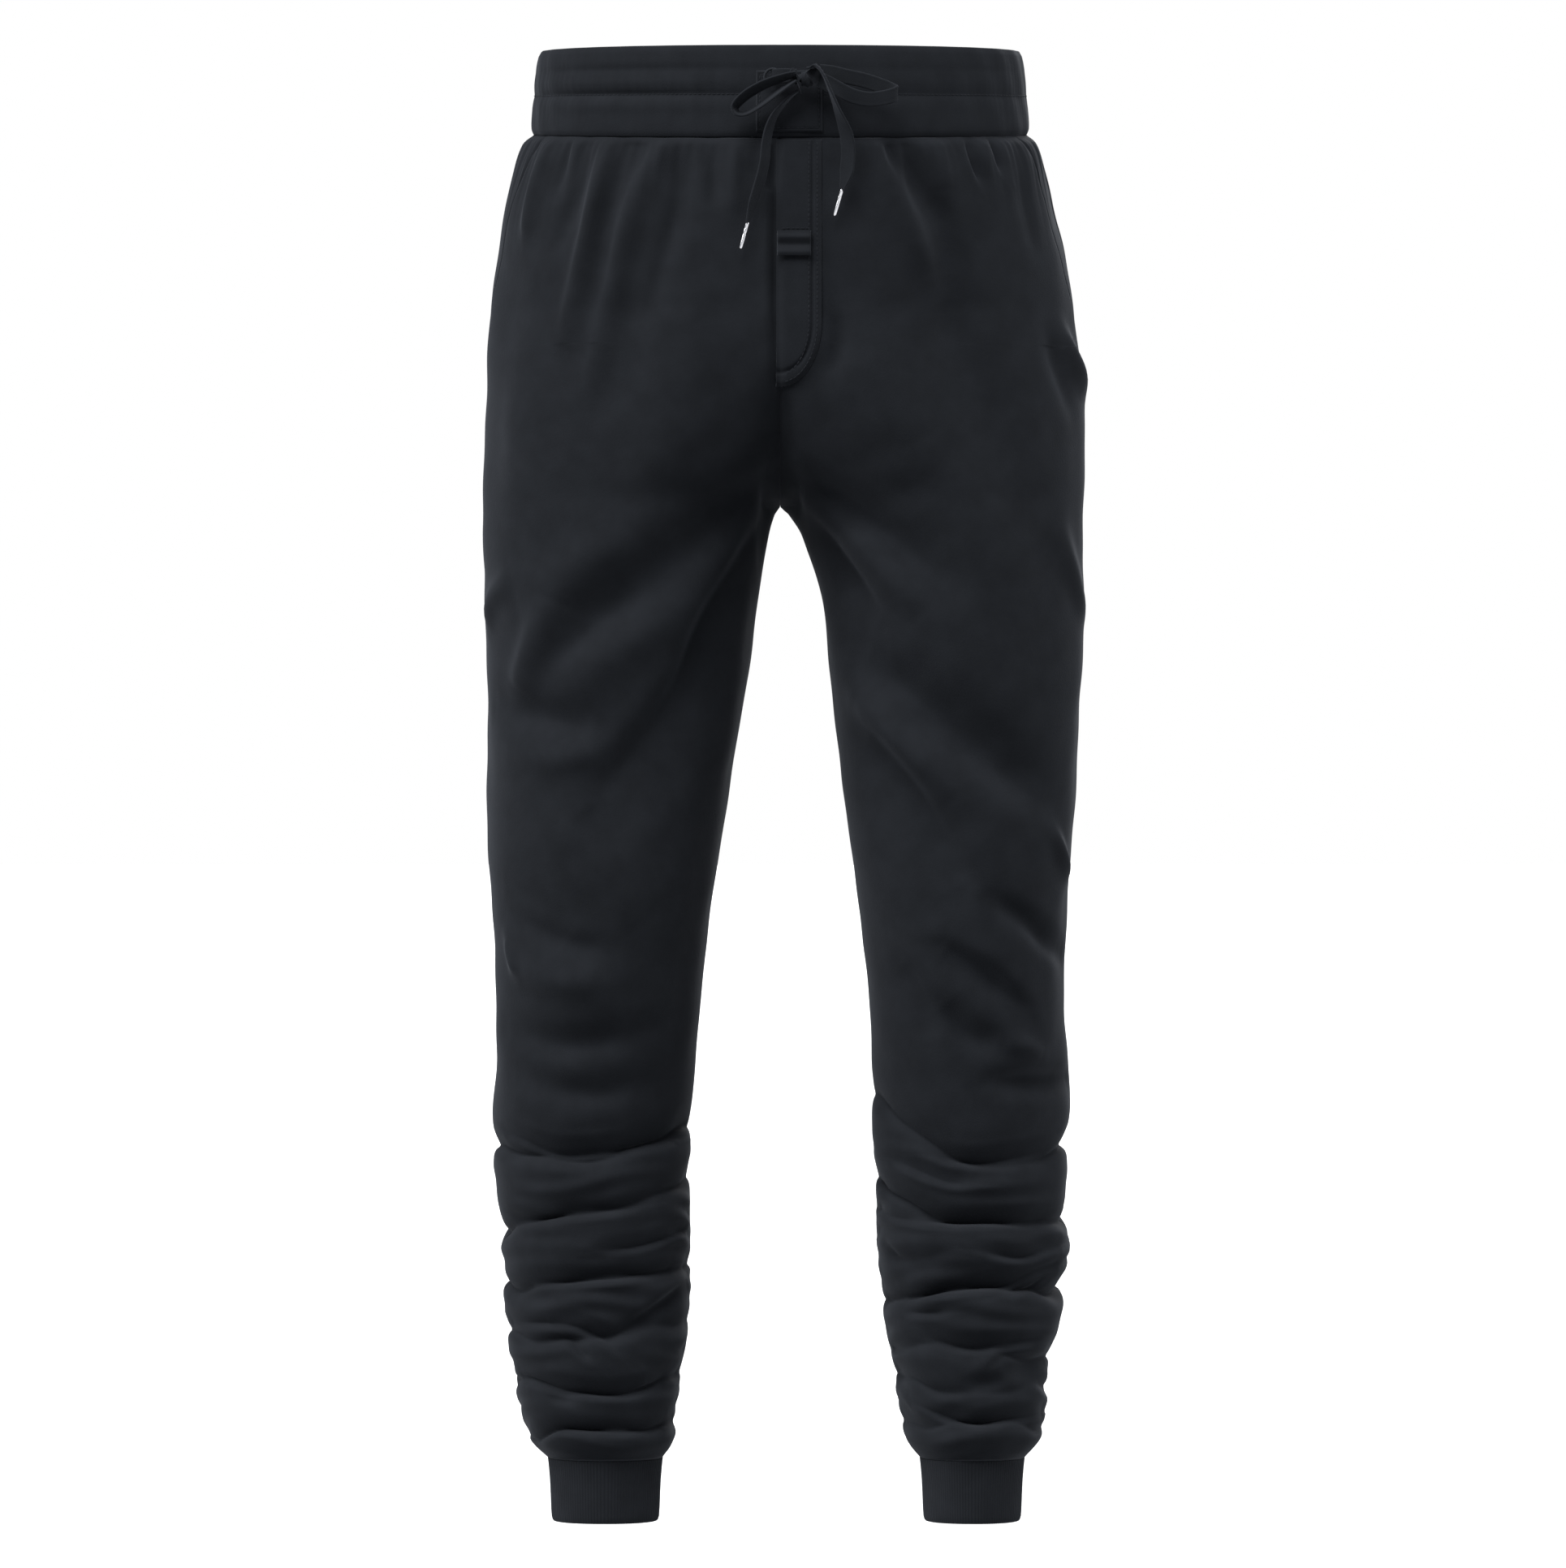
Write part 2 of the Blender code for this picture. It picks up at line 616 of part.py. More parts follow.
def make_tape(name, stops, across, material, pointed=False):
    """A flat tape swept along its route. A pointed tape narrows where it enters its aglet."""
    points, rolls = read_route(stops)
    total = sum((b - a).length for a, b in zip(points, points[1:]))
    bm = bmesh.new()
    rings = []
    travelled = 0.0
    for i, point in enumerate(points):
        before = points[max(i - 1, 0)]
        after = points[min(i + 1, len(points) - 1)]
        if i:
            travelled += (point - before).length
        run = (after - before).normalized()
        wide = (Vector(across) - run * run.dot(Vector(across))).normalized()
        side = run.cross(wide)
        wide, side = (
            wide * math.cos(rolls[i]) + side * math.sin(rolls[i]),
            side * math.cos(rolls[i]) - wide * math.sin(rolls[i]),
        )
        width = TAPE_WIDTH
        if pointed:
            left = min((total - travelled) / TAPE_TAPER, 1.0)
            width = TAPE_TIP_WIDTH + (TAPE_WIDTH - TAPE_TIP_WIDTH) * left
        corners = ((0.5, 0.0), (0.4, 0.5), (-0.4, 0.5), (-0.5, 0.0), (-0.4, -0.5), (0.4, -0.5))
        ring = [bm.verts.new(point + wide * (u * width) + side * (v * TAPE_THICKNESS)) for u, v in corners]
        rings.append(ring)
    for a, b in zip(rings, rings[1:]):
        for k in range(6):
            bm.faces.new((a[k], a[(k + 1) % 6], b[(k + 1) % 6], b[k]))
    bm.faces.new(rings[0])
    bm.faces.new(rings[-1])
    return mesh_object(name, bm, material)


def make_knot(material):
    bm = bmesh.new()
    bmesh.ops.create_uvsphere(bm, u_segments=12, v_segments=8, radius=1.0)
    bmesh.ops.scale(bm, vec=KNOT_RADII, verts=bm.verts[:])
    bmesh.ops.translate(bm, vec=KNOT_CENTRE, verts=bm.verts[:])
    return mesh_object("drawstring_knot", bm, material)


def make_aglet(name, stops, material):
    """A slim tip that carries on the tape's last direction, with a narrowed end."""
    before = Vector(stops[-2][:3])
    end = Vector(stops[-1][:3])
    run = (end - before).normalized()
    start = end + run * SEAM_GAP + Vector((0, 0, BOW_LEVEL))
    bm = bmesh.new()
    rings = []
    for share, size in ((0.0, 0.9), (0.06, 1.0), (0.9, 0.94), (1.0, 0.6)):
        centre = start + run * (AGLET_LENGTH * share)
        wide = Vector((0, 1, 0)) - run * run.y
        wide.normalize()
        side = run.cross(wide)
        ring = []
        for i in range(AGLET_SIDES):
            turn = 2 * math.pi * i / AGLET_SIDES
            spoke = wide * math.cos(turn) + side * math.sin(turn)
            ring.append(bm.verts.new(centre + spoke * (AGLET_RADIUS * size)))
        rings.append(ring)
    for a, b in zip(rings, rings[1:]):
        for i in range(AGLET_SIDES):
            k = (i + 1) % AGLET_SIDES
            bm.faces.new((a[i], a[k], b[k], b[i]))
    bm.faces.new(rings[0])
    bm.faces.new(rings[-1])
    return mesh_object(name, bm, material)


def main():
    clear_scene()
    fleece = make_material("fleece", CHARCOAL, 0.9)
    rib = make_material("rib", CHARCOAL_RIB, 0.92)
    tape = make_material("tape", TAPE_GREY, 0.85)
    tip = make_material("tip", TIP_METAL, 0.3, 1.0)

    make_waistband(fleece)
    for name, side in (("left", 1), ("right", -1)):
        make_front("front_" + name, side, fleece)
        make_back("back_" + name, side, fleece)
        make_pocket_facing("pocket_facing_" + name, side, fleece)
        make_cuff("cuff_" + name, side, rib)
    make_placket(fleece)
    make_tab(fleece)
    make_patch(fleece)

    upright = (0, 0, 1)
    outward = (0, 1, 0)
    make_knot(tape)
    make_tape("drawstring_lead_left", LEAD_LEFT, outward, tape)
    make_tape("drawstring_lead_right", LEAD_RIGHT, outward, tape)
    make_tape("drawstring_loop_left", LOOP_LEFT, outward, tape)
    make_tape("drawstring_loop_right", LOOP_RIGHT, upright, tape)
    make_tape("drawstring_end_left", END_LEFT, outward, tape, pointed=True)
    make_tape("drawstring_end_right", END_RIGHT, outward, tape, pointed=True)
    make_aglet("aglet_left", END_LEFT, tip)
    make_aglet("aglet_right", END_RIGHT, tip)


main()
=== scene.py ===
import math
from collections import namedtuple

import bmesh
import bpy
import numpy as np
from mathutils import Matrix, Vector


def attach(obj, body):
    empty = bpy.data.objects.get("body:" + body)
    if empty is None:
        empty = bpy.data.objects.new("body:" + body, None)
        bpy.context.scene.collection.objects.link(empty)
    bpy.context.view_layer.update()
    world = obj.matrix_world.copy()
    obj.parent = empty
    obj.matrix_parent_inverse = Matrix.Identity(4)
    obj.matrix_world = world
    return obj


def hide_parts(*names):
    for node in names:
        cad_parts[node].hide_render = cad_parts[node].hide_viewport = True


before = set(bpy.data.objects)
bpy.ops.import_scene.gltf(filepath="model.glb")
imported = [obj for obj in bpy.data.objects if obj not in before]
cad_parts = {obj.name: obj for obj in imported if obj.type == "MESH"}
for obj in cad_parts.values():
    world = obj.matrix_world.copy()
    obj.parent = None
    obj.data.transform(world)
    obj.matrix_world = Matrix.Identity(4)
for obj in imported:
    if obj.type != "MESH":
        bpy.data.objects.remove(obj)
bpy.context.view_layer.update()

# ---------------------------------------------------------------- driving dimensions, in metres
WALL = 0.0018
SEAM_GAP = 0.0003
ROUNDNESS = 2.2  # power of the sections: 2 is an ellipse, more is squarer
BAND_TOP, BAND_BOTTOM = 0.0265, -0.0290
BAND_TOP_TILT, BAND_BOTTOM_TILT = 0.030, 0.085
BAND_LEAN = 0.0045
BAND_WALL = 0.003
PANEL_TOP = BAND_BOTTOM - SEAM_GAP
CROTCH = -0.281
SEAT_SPLIT, SPLIT_POWER = -0.150, 1.25
STACK_TOP = -0.650
PANEL_BOTTOM = -0.9243
TILT_FADE = 0.060
POCKET_BOTTOM = -0.175
FACING_UNDER = 0.006  # how far the facing reaches under the front panel
POCKET_ANGLE_TOP, POCKET_ANGLE_BOTTOM = math.radians(70), math.radians(86)
CUFF_TOP, CUFF_BOTTOM = PANEL_BOTTOM - SEAM_GAP, -0.967
PLACKET_LEFT, PLACKET_RIGHT = -0.0025, 0.0275
PLACKET_TOP, PLACKET_CURVE, PLACKET_BOTTOM = -0.0305, -0.163, -0.2045
J_CENTRE = PLACKET_LEFT + 0.003  # the middle of the curve at the placket's foot
J_WIDTH, J_HEIGHT = PLACKET_RIGHT - J_CENTRE, PLACKET_CURVE - PLACKET_BOTTOM
TAB_RIGHT, TAB_TOP, TAB_BOTTOM = 0.0205, -0.1015, -0.1180
PATCH_LEFT, PATCH_RIGHT = -0.016, 0.028
PATCH_TOP_SHARE, PATCH_BOTTOM_SHARE = 0.72, 0.06
TAPE_WIDTH, TAPE_THICKNESS = 0.010, 0.0016
TAPE_TIP_WIDTH, TAPE_TAPER = 0.0026, 0.014
BOW_LEVEL = -0.009
KNOT_CENTRE = (0.0180, -0.1265, 0.0080 + BOW_LEVEL)
AGLET_LENGTH, AGLET_RADIUS, AGLET_TRIM = 0.017, 0.0014, 0.85

CAMERA_AT = (0.0019, -6.5, -0.4686)
VIEW_WIDTH = 1.061  # what the camera sees across at the garment's middle
SENSOR = 36.0
SIDES = (("left", 1), ("right", -1))  # the wearer's left is +X
FLOOR, FLOOR_REACH = -1.03, 60
AMBIENT = 0.38

SHARP_GAIN, SOFT_GAIN, SOFT_SPREAD = 1.5, 1.9, 1.15  # how strongly the creases are worn in
SHARP_BELOW = 3.6  # a crease that reaches less than this above its line, in mm, is a sharp one
PANEL_ROWS_SEAT, PANEL_ROWS_LEG, PANEL_ROWS_STACK = 92, 148, 160
PANEL_COLUMNS = 94
WRINKLE_TOP = -0.690  # small wrinkles start below this level
STITCH_PITCH, STITCH_RADIUS = 0.0032, 0.0003
STITCH_SIDES = 6
EYELET_RADIUS, EYELET_THREAD = 0.0052, 0.0009
EYELET_TURNS, EYELET_SIDES = 40, 8
CHANNEL = 0.465  # where the stitched channel runs, as a share of the waistband's height

# Each row is one level: the outer and inner edges of each leg from the centre plane, front and back.
Section = namedtuple("Section", "z out_left in_left out_right in_right front back")
SECTIONS = [Section(*row) for row in (
    (-0.0293, 0.168, 0.0, 0.168, 0.0, -0.116, 0.115),
    (-0.036, 0.1745, 0.0, 0.173, 0.0, -0.1185, 0.118),
    (-0.05, 0.1795, 0.0, 0.1785, 0.0, -0.1205, 0.121),
    (-0.08, 0.1855, 0.0, 0.1865, 0.0, -0.123, 0.127),
    (-0.12, 0.194, 0.0, 0.1922, 0.0, -0.1245, 0.135),
    (-0.17, 0.2015, 0.0, 0.1975, 0.0, -0.1235, 0.1405),
    (-0.22, 0.2055, 0.0, 0.1995, 0.0, -0.1185, 0.138),
    (-0.26, 0.2055, 0.0, 0.2005, 0.0, -0.113, 0.129),
    (CROTCH, 0.2052, 0.0000, 0.201, 0.0000, -0.1095, 0.122),
    (-0.286, 0.2052, 0.006, 0.2012, 0.0042, -0.1088, 0.1205),
    (-0.3, 0.2052, 0.015, 0.2018, 0.0078, -0.1075, 0.1165),
    (-0.34, 0.2055, 0.027, 0.2005, 0.0142, -0.105, 0.109),
    (-0.39, 0.2045, 0.033, 0.1985, 0.0213, -0.102, 0.102),
    (-0.45, 0.2012, 0.0396, 0.1984, 0.031, -0.0975, 0.092),
    (-0.524, 0.1965, 0.049, 0.1965, 0.0429, -0.0925, 0.08),
    (-0.6, 0.1915, 0.0592, 0.1915, 0.0528, -0.083, 0.076),
    (-0.66, 0.195, 0.0622, 0.1925, 0.0575, -0.069, 0.083),
    (-0.7, 0.1952, 0.0626, 0.195, 0.0605, -0.062, 0.087),
    (-0.75, 0.194, 0.0643, 0.1922, 0.0605, -0.059, 0.088),
    (-0.787, 0.1952, 0.0662, 0.1895, 0.0602, -0.057, 0.086),
    (-0.838, 0.1892, 0.071, 0.1862, 0.062, -0.0545, 0.081),
    (-0.87, 0.182, 0.0765, 0.1805, 0.0665, -0.0525, 0.0755),
    (-0.898, 0.1795, 0.0815, 0.1752, 0.071, -0.0505, 0.07),
    (-0.912, 0.1757, 0.085, 0.1705, 0.0715, -0.048, 0.065),
    (PANEL_BOTTOM, 0.1655, 0.0945, 0.1572, 0.0795, -0.0365, 0.05),
)]

# A fold that runs round a leg: height, and depth in mm, at the inseam, front, side seam and back.
Fold = namedtuple("Fold", "z_in z_front z_out z_back d_in d_front d_out d_back")
FOLDS_LEFT = [Fold(*row) for row in (
    (-0.678, -0.72, -0.712, -0.7, 3.5, 5.0, 5.0, 5.0),
    (-0.737, -0.762, -0.76, -0.748, 4.5, 7.5, 4.5, 6.0),
    (-0.815, -0.806, -0.809, -0.8, 4.5, 7.5, 7.5, 6.0),
    (-0.85, -0.8475, -0.857, -0.842, 2.0, 4.0, 4.0, 4.5),
    (-0.868, -0.876, -0.874, -0.872, 5.0, 3.0, 2.0, 3.0),
    (-0.9, -0.8975, -0.902, -0.898, 2.5, 5.0, 1.5, 4.0),
)]
FOLDS_RIGHT = [Fold(*row) for row in (
    (-0.7, -0.717, -0.713, -0.706, 4.5, 8.0, 4.5, 6.0),
    (-0.737, -0.753, -0.768, -0.748, 4.5, 4.5, 6.0, 5.0),
    (-0.792, -0.8, -0.806, -0.79, 4.0, 4.5, 5.0, 5.0),
    (-0.83, -0.838, -0.839, -0.83, 2.0, 5.0, 3.5, 4.5),
    (-0.868, -0.877, -0.868, -0.87, 3.0, 4.5, 2.0, 4.0),
    (-0.9, -0.901, -0.908, -0.9, 1.5, 5.0, 2.5, 4.0),
)]

# A crease or a ridge on one side of the garment. Each row gives, in mm, how deep it is (less than 0 is a
# ridge), how far it reaches above and below its line, and the line's points as x, z, x, z and so on.
Crease = namedtuple("Crease", "depth above below points")


def crease_of(depth, above, below, *run):
    return Crease(depth, above, below, tuple(zip(run[::2], run[1::2])))


FRONT_CREASES = [crease_of(*row) for row in (
    # the wearer's right leg: broad soft folds of the thigh
    (5.0, 16, 12, -12, -262, -60, -314, -110, -348, -162, -394),
    (-2.6, 12, 14, -62, -352, -104, -376, -150, -402),
    (6.4, 11, 34, -14, -302, -44, -356, -66, -408, -118, -478),
    (-5.2, 11, 13, -150, -346, -163, -376, -176, -406),
    (-3.0, 8, 8, -178, -330, -192, -345, -196, -362),
    (4.0, 12, 9, -190, -416, -160, -424, -124, -431),
    (-2.2, 9, 9, -178, -446, -150, -452, -120, -446),
    (-3.0, 16, 18, -100, -300, -140, -326, -176, -340),
    (-1.8, 18, 18, -150, -500, -120, -520, -90, -560),
    (2.0, 12, 12, -186, -540, -160, -552, -140, -570),
    (3.0, 8, 9, -184, -556, -150, -574, -118, -580),
    (-2.4, 9, 9, -176, -590, -150, -602, -120, -600),
    (3.4, 11, 9, -182, -634, -140, -643, -88, -634),
    (-2.4, 5, 6, -184, -572, -176, -596),
    (2.2, 9, 8, -178, -664, -130, -676, -84, -668),
    # the seam drawn in down to the crotch
    (3.8, 8, 8, 0, -205, 0, -245, 0, -280.4),
    (3.4, 13, 13, 0, -250, 0, -266, 0, -280.4),
    (2.8, 2.4, 2.2, -3.8, -26, -3.8, -100, -3.2, -204),
    # the wearer's left leg
    (4.8, 12, 13, 8, -262, 60, -296, 112, -338),
    (-3.6, 10, 11, 40, -296, 72, -326, 96, -354),
    (3.2, 7, 13, 24, -296, 44, -324, 66, -358),
    (7.4, 18, 12, 56, -386, 112, -431, 176, -478),
    (-3.8, 11, 11, 52, -412, 82, -442, 116, -478),
    (5.0, 8, 20, 60, -436, 90, -476, 122, -534),
    (4.6, 6, 12, 110, -578, 138, -596, 166, -621),
    (4.4, 7, 8, 144, -546, 166, -560, 190, -582),
    (3.6, 8, 8, 108, -616, 124, -634, 146, -644),
    (2.4, 9, 9, 80, -590, 92, -612, 100, -640),
    (4.5, 6, 8, 142, -668, 194, -667),
    (-2.2, 6, 6, 150, -640, 176, -650),
    (-3.5, 8, 9, 189, -165, 206, -203),
    (1.9, 8, 9, 180, -170, 196, -215),
    (-2.5, 10, 8, 186, -296, 204, -352),
    (-2.5, 5, 6, 182, -500, 194, -530),
    (2.2, 18, 20, 130, -230, 160, -280, 180, -330),
    (2.6, 18, 22, 90, -110, 120, -180, 150, -230),
    (-1.8, 16, 16, 60, -180, 90, -240),
    # broad soft drapes of the seat
    (-2.0, 18, 22, -160, -130, -172, -220, -180, -300),
    (2.0, 20, 22, -104, -110, -112, -200, -128, -290),
    (-1.4, 20, 22, -62, -130, -66, -220, -80, -280),
    (-1.8, 16, 18, 52, -160, 62, -220, 90, -270),
    (2.6, 22, 24, 104, -150, 130, -210, 152, -262),
    (1.2, 5, 6, 36, -156, 38, -176, 32, -196),
    # down from the waistband
    (-3.6, 6, 7, -153, -30, -162, -60, -170, -100),
    (1.8, 5, 6, -143, -30, -150, -70),
    (-4.4, 7, 8, -113, -28, -122, -80, -142, -170),
    (2.4, 6, 7, -128, -28, -136, -70, -150, -110),
    (2.2, 5, 7, -104, -28, -112, -70, -124, -120),
    (-3.8, 7, 9, -77, -30, -92, -66, -112, -140, -126, -200),
    (2.0, 5, 5, -90, -28, -98, -60),
    (2.2, 6, 8, -62, -30, -70, -90, -86, -150),
    (1.8, 5, 5, -46, -32, -44, -84),
    (-1.6, 6, 6, -28, -30, -32, -90),
    (4.0, 9, 13, 77, -28, 96, -70, 113, -104, 124, -178),
    (-3.6, 8, 9, 60, -28, 74, -64, 100, -130),
    (3.4, 3.2, 3.2, 124, -28, 128, -42, 134, -62),
    (-1.6, 4, 4, 132, -28, 138, -60),
    (3.0, 3.2, 3.2, 140, -28, 149, -54),
    (2.6, 3.2, 3.2, 70, -28, 74, -54),
    (-1.8, 7, 7, 100, -28, 110, -70),
    (1.8, 6, 8, 158, -30, 170, -110),
    (1.0, 4, 5, 40, -156, 36, -188),
    # the stack of the wearer's right leg
    (4.0, 3, 9, -186, -703, -148, -714, -104, -711, -70, -708),
    (3.6, 2.5, 6, -180, -760, -140, -757, -98, -752),
    (3.4, 2.5, 6, -116, -781, -92, -778, -64, -770),
    (3.6, 2.5, 7, -165, -802, -113, -800, -72, -794),
    (2.2, 5, 5, -184, -814, -152, -815),
    (3.8, 3, 6, -184, -830, -140, -831, -120, -838, -110, -848),
    (2.6, 3, 4, -144, -841, -128, -854),
    (3.0, 4, 6, -106, -835, -80, -820, -62, -806),
    (3.6, 3, 6, -176, -866, -146, -874, -106, -877, -78, -869),
    (1.8, 3, 4, -156, -881, -140, -883),
    (3.8, 3, 6, -166, -908, -147, -901, -104, -903, -78, -901),
    # the stack of the wearer's left leg
    (3.4, 3, 7, 107, -719, 133, -721, 180, -714),
    (3.2, 3, 7, 76, -722, 110, -735, 128, -737),
    (4.4, 3, 9, 64, -755, 76, -760, 121, -762, 180, -760),
    (3.6, 2.5, 6, 140, -783, 165, -786, 188, -780),
    (2.4, 4, 6, 72, -780, 80, -790, 112, -785),
    (4.4, 3, 8, 82, -812, 121, -807, 155, -802, 186, -791),
    (2.6, 2.5, 4, 155, -810, 172, -805, 186, -796),
    (3.0, 3, 4, 84, -824, 110, -823),
    (3.2, 3, 6, 102, -841, 127, -846, 172, -842),
    (2.4, 4, 5, 148, -861, 180, -861),
    (-1.8, 3, 3, 136, -858, 150, -848),
    (2.0, 4, 4, 126, -871, 152, -869),
    (3.8, 3, 6, 87, -885, 130, -897, 154, -894, 178, -893),
)]
BACK_CREASES = [crease_of(*row) for row in (
    (5.0, 20, 24, -8, -240, -60, -300, -130, -336),
    (5.0, 22, 22, 10, -250, 70, -306, 140, -330),
    (4.5, 18, 20, -20, -330, -90, -372, -160, -380),
    (4.5, 18, 18, 26, -350, 90, -398, 170, -420),
    (4.0, 16, 18, -30, -420, -100, -470, -150, -476),
    (4.0, 16, 18, 40, -450, 110, -486, 180, -490),
    (4.0, 12, 14, -60, -540, -120, -566, -178, -560),
    (4.0, 12, 14, 60, -560, 120, -590, 180, -580),
    (4.0, 10, 12, -70, -610, -120, -640, -170, -636),
    (4.0, 10, 12, 72, -640, 130, -652, 184, -640),
    (2.2, 7, 9, -110, -36, -118, -90, -126, -150),
    (-2.0, 7, 8, -60, -36, -66, -80),
    (1.8, 6, 8, -30, -36, -34, -110),
    (2.0, 6, 8, 34, -36, 40, -90),
    (-2.0, 7, 8, 76, -36, 84, -84),
    (2.2, 7, 9, 112, -36, 124, -120),
    (2.0, 5, 5, -140, -36, -150, -70),
    (2.0, 5, 5, 146, -36, 152, -64),
    (4.0, 3, 8, -180, -690, -130, -700, -80, -694),
    (3.6, 3, 7, -176, -728, -120, -734, -76, -724),
    (3.6, 3, 7, -184, -770, -130, -778, -90, -786),
    (3.4, 3, 6, -150, -812, -100, -804, -70, -808),
    (3.6, 3, 6, -178, -846, -140, -852, -84, -848),
    (3.6, 3, 6, -168, -884, -120, -888, -84, -884),
    (4.0, 3, 8, 70, -700, 120, -712, 184, -706),
    (3.6, 3, 7, 76, -744, 130, -738, 180, -730),
    (3.8, 3, 7, 70, -776, 126, -782, 186, -776),
    (3.4, 3, 6, 84, -822, 130, -816, 176, -820),
    (3.6, 3, 6, 80, -856, 130, -862, 178, -858),
    (3.4, 3, 6, 86, -886, 130, -882, 170, -890),
)]

BandPoint = namedtuple("BandPoint", "share out")
BAND_OUTSIDE = [BandPoint(*row) for row in (
    (0.00, -1.0),
    (0.06, 0.5),
    (0.2, 0.9),
    (0.465, 0.3),
    (0.72, 0.5),
    (0.93, -0.4),
    (1.00, -2.0),
)]

# The drawstring's routes, with z measured from BOW_LEVEL. Roll turns the tape about its run.
Stop = namedtuple("Stop", "x y z roll")
LEAD_LEFT = [Stop(*row) for row in (
    (-0.005, -0.12, 0.01, 90),
    (-0.0035, -0.1225, 0.0102, 90),
    (0.001, -0.1245, 0.0104, 90),
    (0.006, -0.1252, 0.0102, 90),
    (0.0108, -0.1258, 0.0099, 90),
)]
LOOP_LEFT = [Stop(*row) for row in (
    (0.0105, -0.132, 0.0112, 14),
    (0.005, -0.1318, 0.0098, 22),
    (-0.009, -0.1305, 0.005, 32),
    (-0.02, -0.1295, -0.0008, 36),
    (-0.0272, -0.129, -0.0066, 34),
    (-0.0302, -0.1288, -0.011, 28),
    (-0.0285, -0.1288, -0.0146, 20),
    (-0.0236, -0.129, -0.0152, 16),
    (-0.017, -0.1297, -0.0122, 16),
    (-0.0085, -0.1308, -0.0064, 18),
    (0.0000, -0.1318, 0.0000, 18),
    (0.0065, -0.1322, 0.0045, 14),
    (0.0105, -0.1322, 0.0068, 8),
)]
END_LEFT = [Stop(*row) for row in (
    (0.0125, -0.1262, 0.001, 0),
    (0.007, -0.127, -0.0035, 5),
    (0.0012, -0.1278, -0.0095, 12),
    (-0.004, -0.1284, -0.0165, 22),
    (-0.0075, -0.129, -0.0255, 32),
    (-0.0094, -0.1298, -0.036, 36),
    (-0.0102, -0.1304, -0.046, 38),
    (-0.0125, -0.1308, -0.0565, 38),
    (-0.016, -0.1311, -0.068, 36),
    (-0.0192, -0.1313, -0.0785, 34),
    (-0.0218, -0.1314, -0.0882, 34),
)]
LEAD_RIGHT = [Stop(*row) for row in (
    (0.033, -0.1198, 0.006, 90),
    (0.0322, -0.1216, 0.0062, 90),
    (0.03, -0.1225, 0.0066, 90),
    (0.0262, -0.1228, 0.0072, 90),
)]
LOOP_RIGHT = [Stop(*row) for row in (
    (0.0262, -0.1264, 0.013, 0),
    (0.034, -0.1264, 0.0122, 2),
    (0.044, -0.1262, 0.0098, 6),
    (0.056, -0.1256, 0.0072, 8),
    (0.067, -0.1256, 0.0036, 6),
    (0.0745, -0.1266, 0.0004, 2),
    (0.0772, -0.1296, -0.0014, 0),
    (0.0752, -0.1328, -0.003, -4),
    (0.068, -0.1344, -0.005, -8),
    (0.058, -0.1348, -0.0058, -10),
    (0.048, -0.1346, -0.0036, -10),
    (0.039, -0.134, 0.0008, -6),
    (0.031, -0.133, 0.0052, -2),
    (0.0262, -0.1322, 0.0074, 0),
)]
END_RIGHT = [Stop(*row) for row in (
    (0.0205, -0.135, 0.015, 0),
    (0.0245, -0.1385, 0.015, 0),
    (0.0292, -0.1425, 0.0085, -2),
    (0.0328, -0.1425, 0.0000, -6),
    (0.0358, -0.1415, -0.0075, -12),
    (0.0382, -0.14, -0.014, -22),
    (0.0412, -0.1382, -0.0215, -38),
    (0.0438, -0.1366, -0.029, -56),
    (0.045, -0.1352, -0.037, -68),
    (0.045, -0.134, -0.045, -70),
    (0.044, -0.1328, -0.054, -70),
    (0.042, -0.1318, -0.062, -68),
    (0.0407, -0.1313, -0.0665, -68),
)]


# ---------------------------------------------------------------- smooth reading of the tables
def smooth_between(keys, values, key):
    """A smooth curve through the values, each at its key. The keys rise or fall throughout."""
    turn = 1 if keys[-1] > keys[0] else -1
    last = len(keys) - 2
    i = 0
    while i < last and (key - keys[i + 1]) * turn > 0:
        i += 1

    def slope(j):
        low = max(j - 1, 0)
        high = min(j + 1, len(keys) - 1)
        return (values[high] - values[low]) / (keys[high] - keys[low])

    span = keys[i + 1] - keys[i]
    t = min(max((key - keys[i]) / span, 0.0), 1.0)
    start = (1 + 2 * t) * (1 - t) ** 2 * values[i]
    end = t * t * (3 - 2 * t) * values[i + 1]
    bends = t * (1 - t) ** 2 * slope(i) - t * t * (1 - t) * slope(i + 1)
    return start + end + bends * span


def leg_section(side, z):
    """The leg's or half seat's middle x, half width, middle y and half depth at a level."""
    name = "left" if side > 0 else "right"
    keys = [row.z for row in SECTIONS]
    outer, inner, front, back = (
        smooth_between(keys, [getattr(row, column) for row in SECTIONS], z)
        for column in ("out_" + name, "in_" + name, "front", "back")
    )
    if z > CROTCH:
        split = min(max((SEAT_SPLIT - z) / (SEAT_SPLIT - CROTCH), 0.0), 1.0) ** SPLIT_POWER
        half = outer / (1 + split)
        return outer - half, half, (front + back) / 2, (back - front) / 2
    inner = max(inner, SEAM_GAP / 2)
    return (outer + inner) / 2, (outer - inner) / 2, (front + back) / 2, (back - front) / 2


def power_trig(value):
    return np.sign(value) * np.abs(value) ** (2 / ROUNDNESS)


def bell(distance, reach):
    return np.exp(-((distance / reach) ** 2))


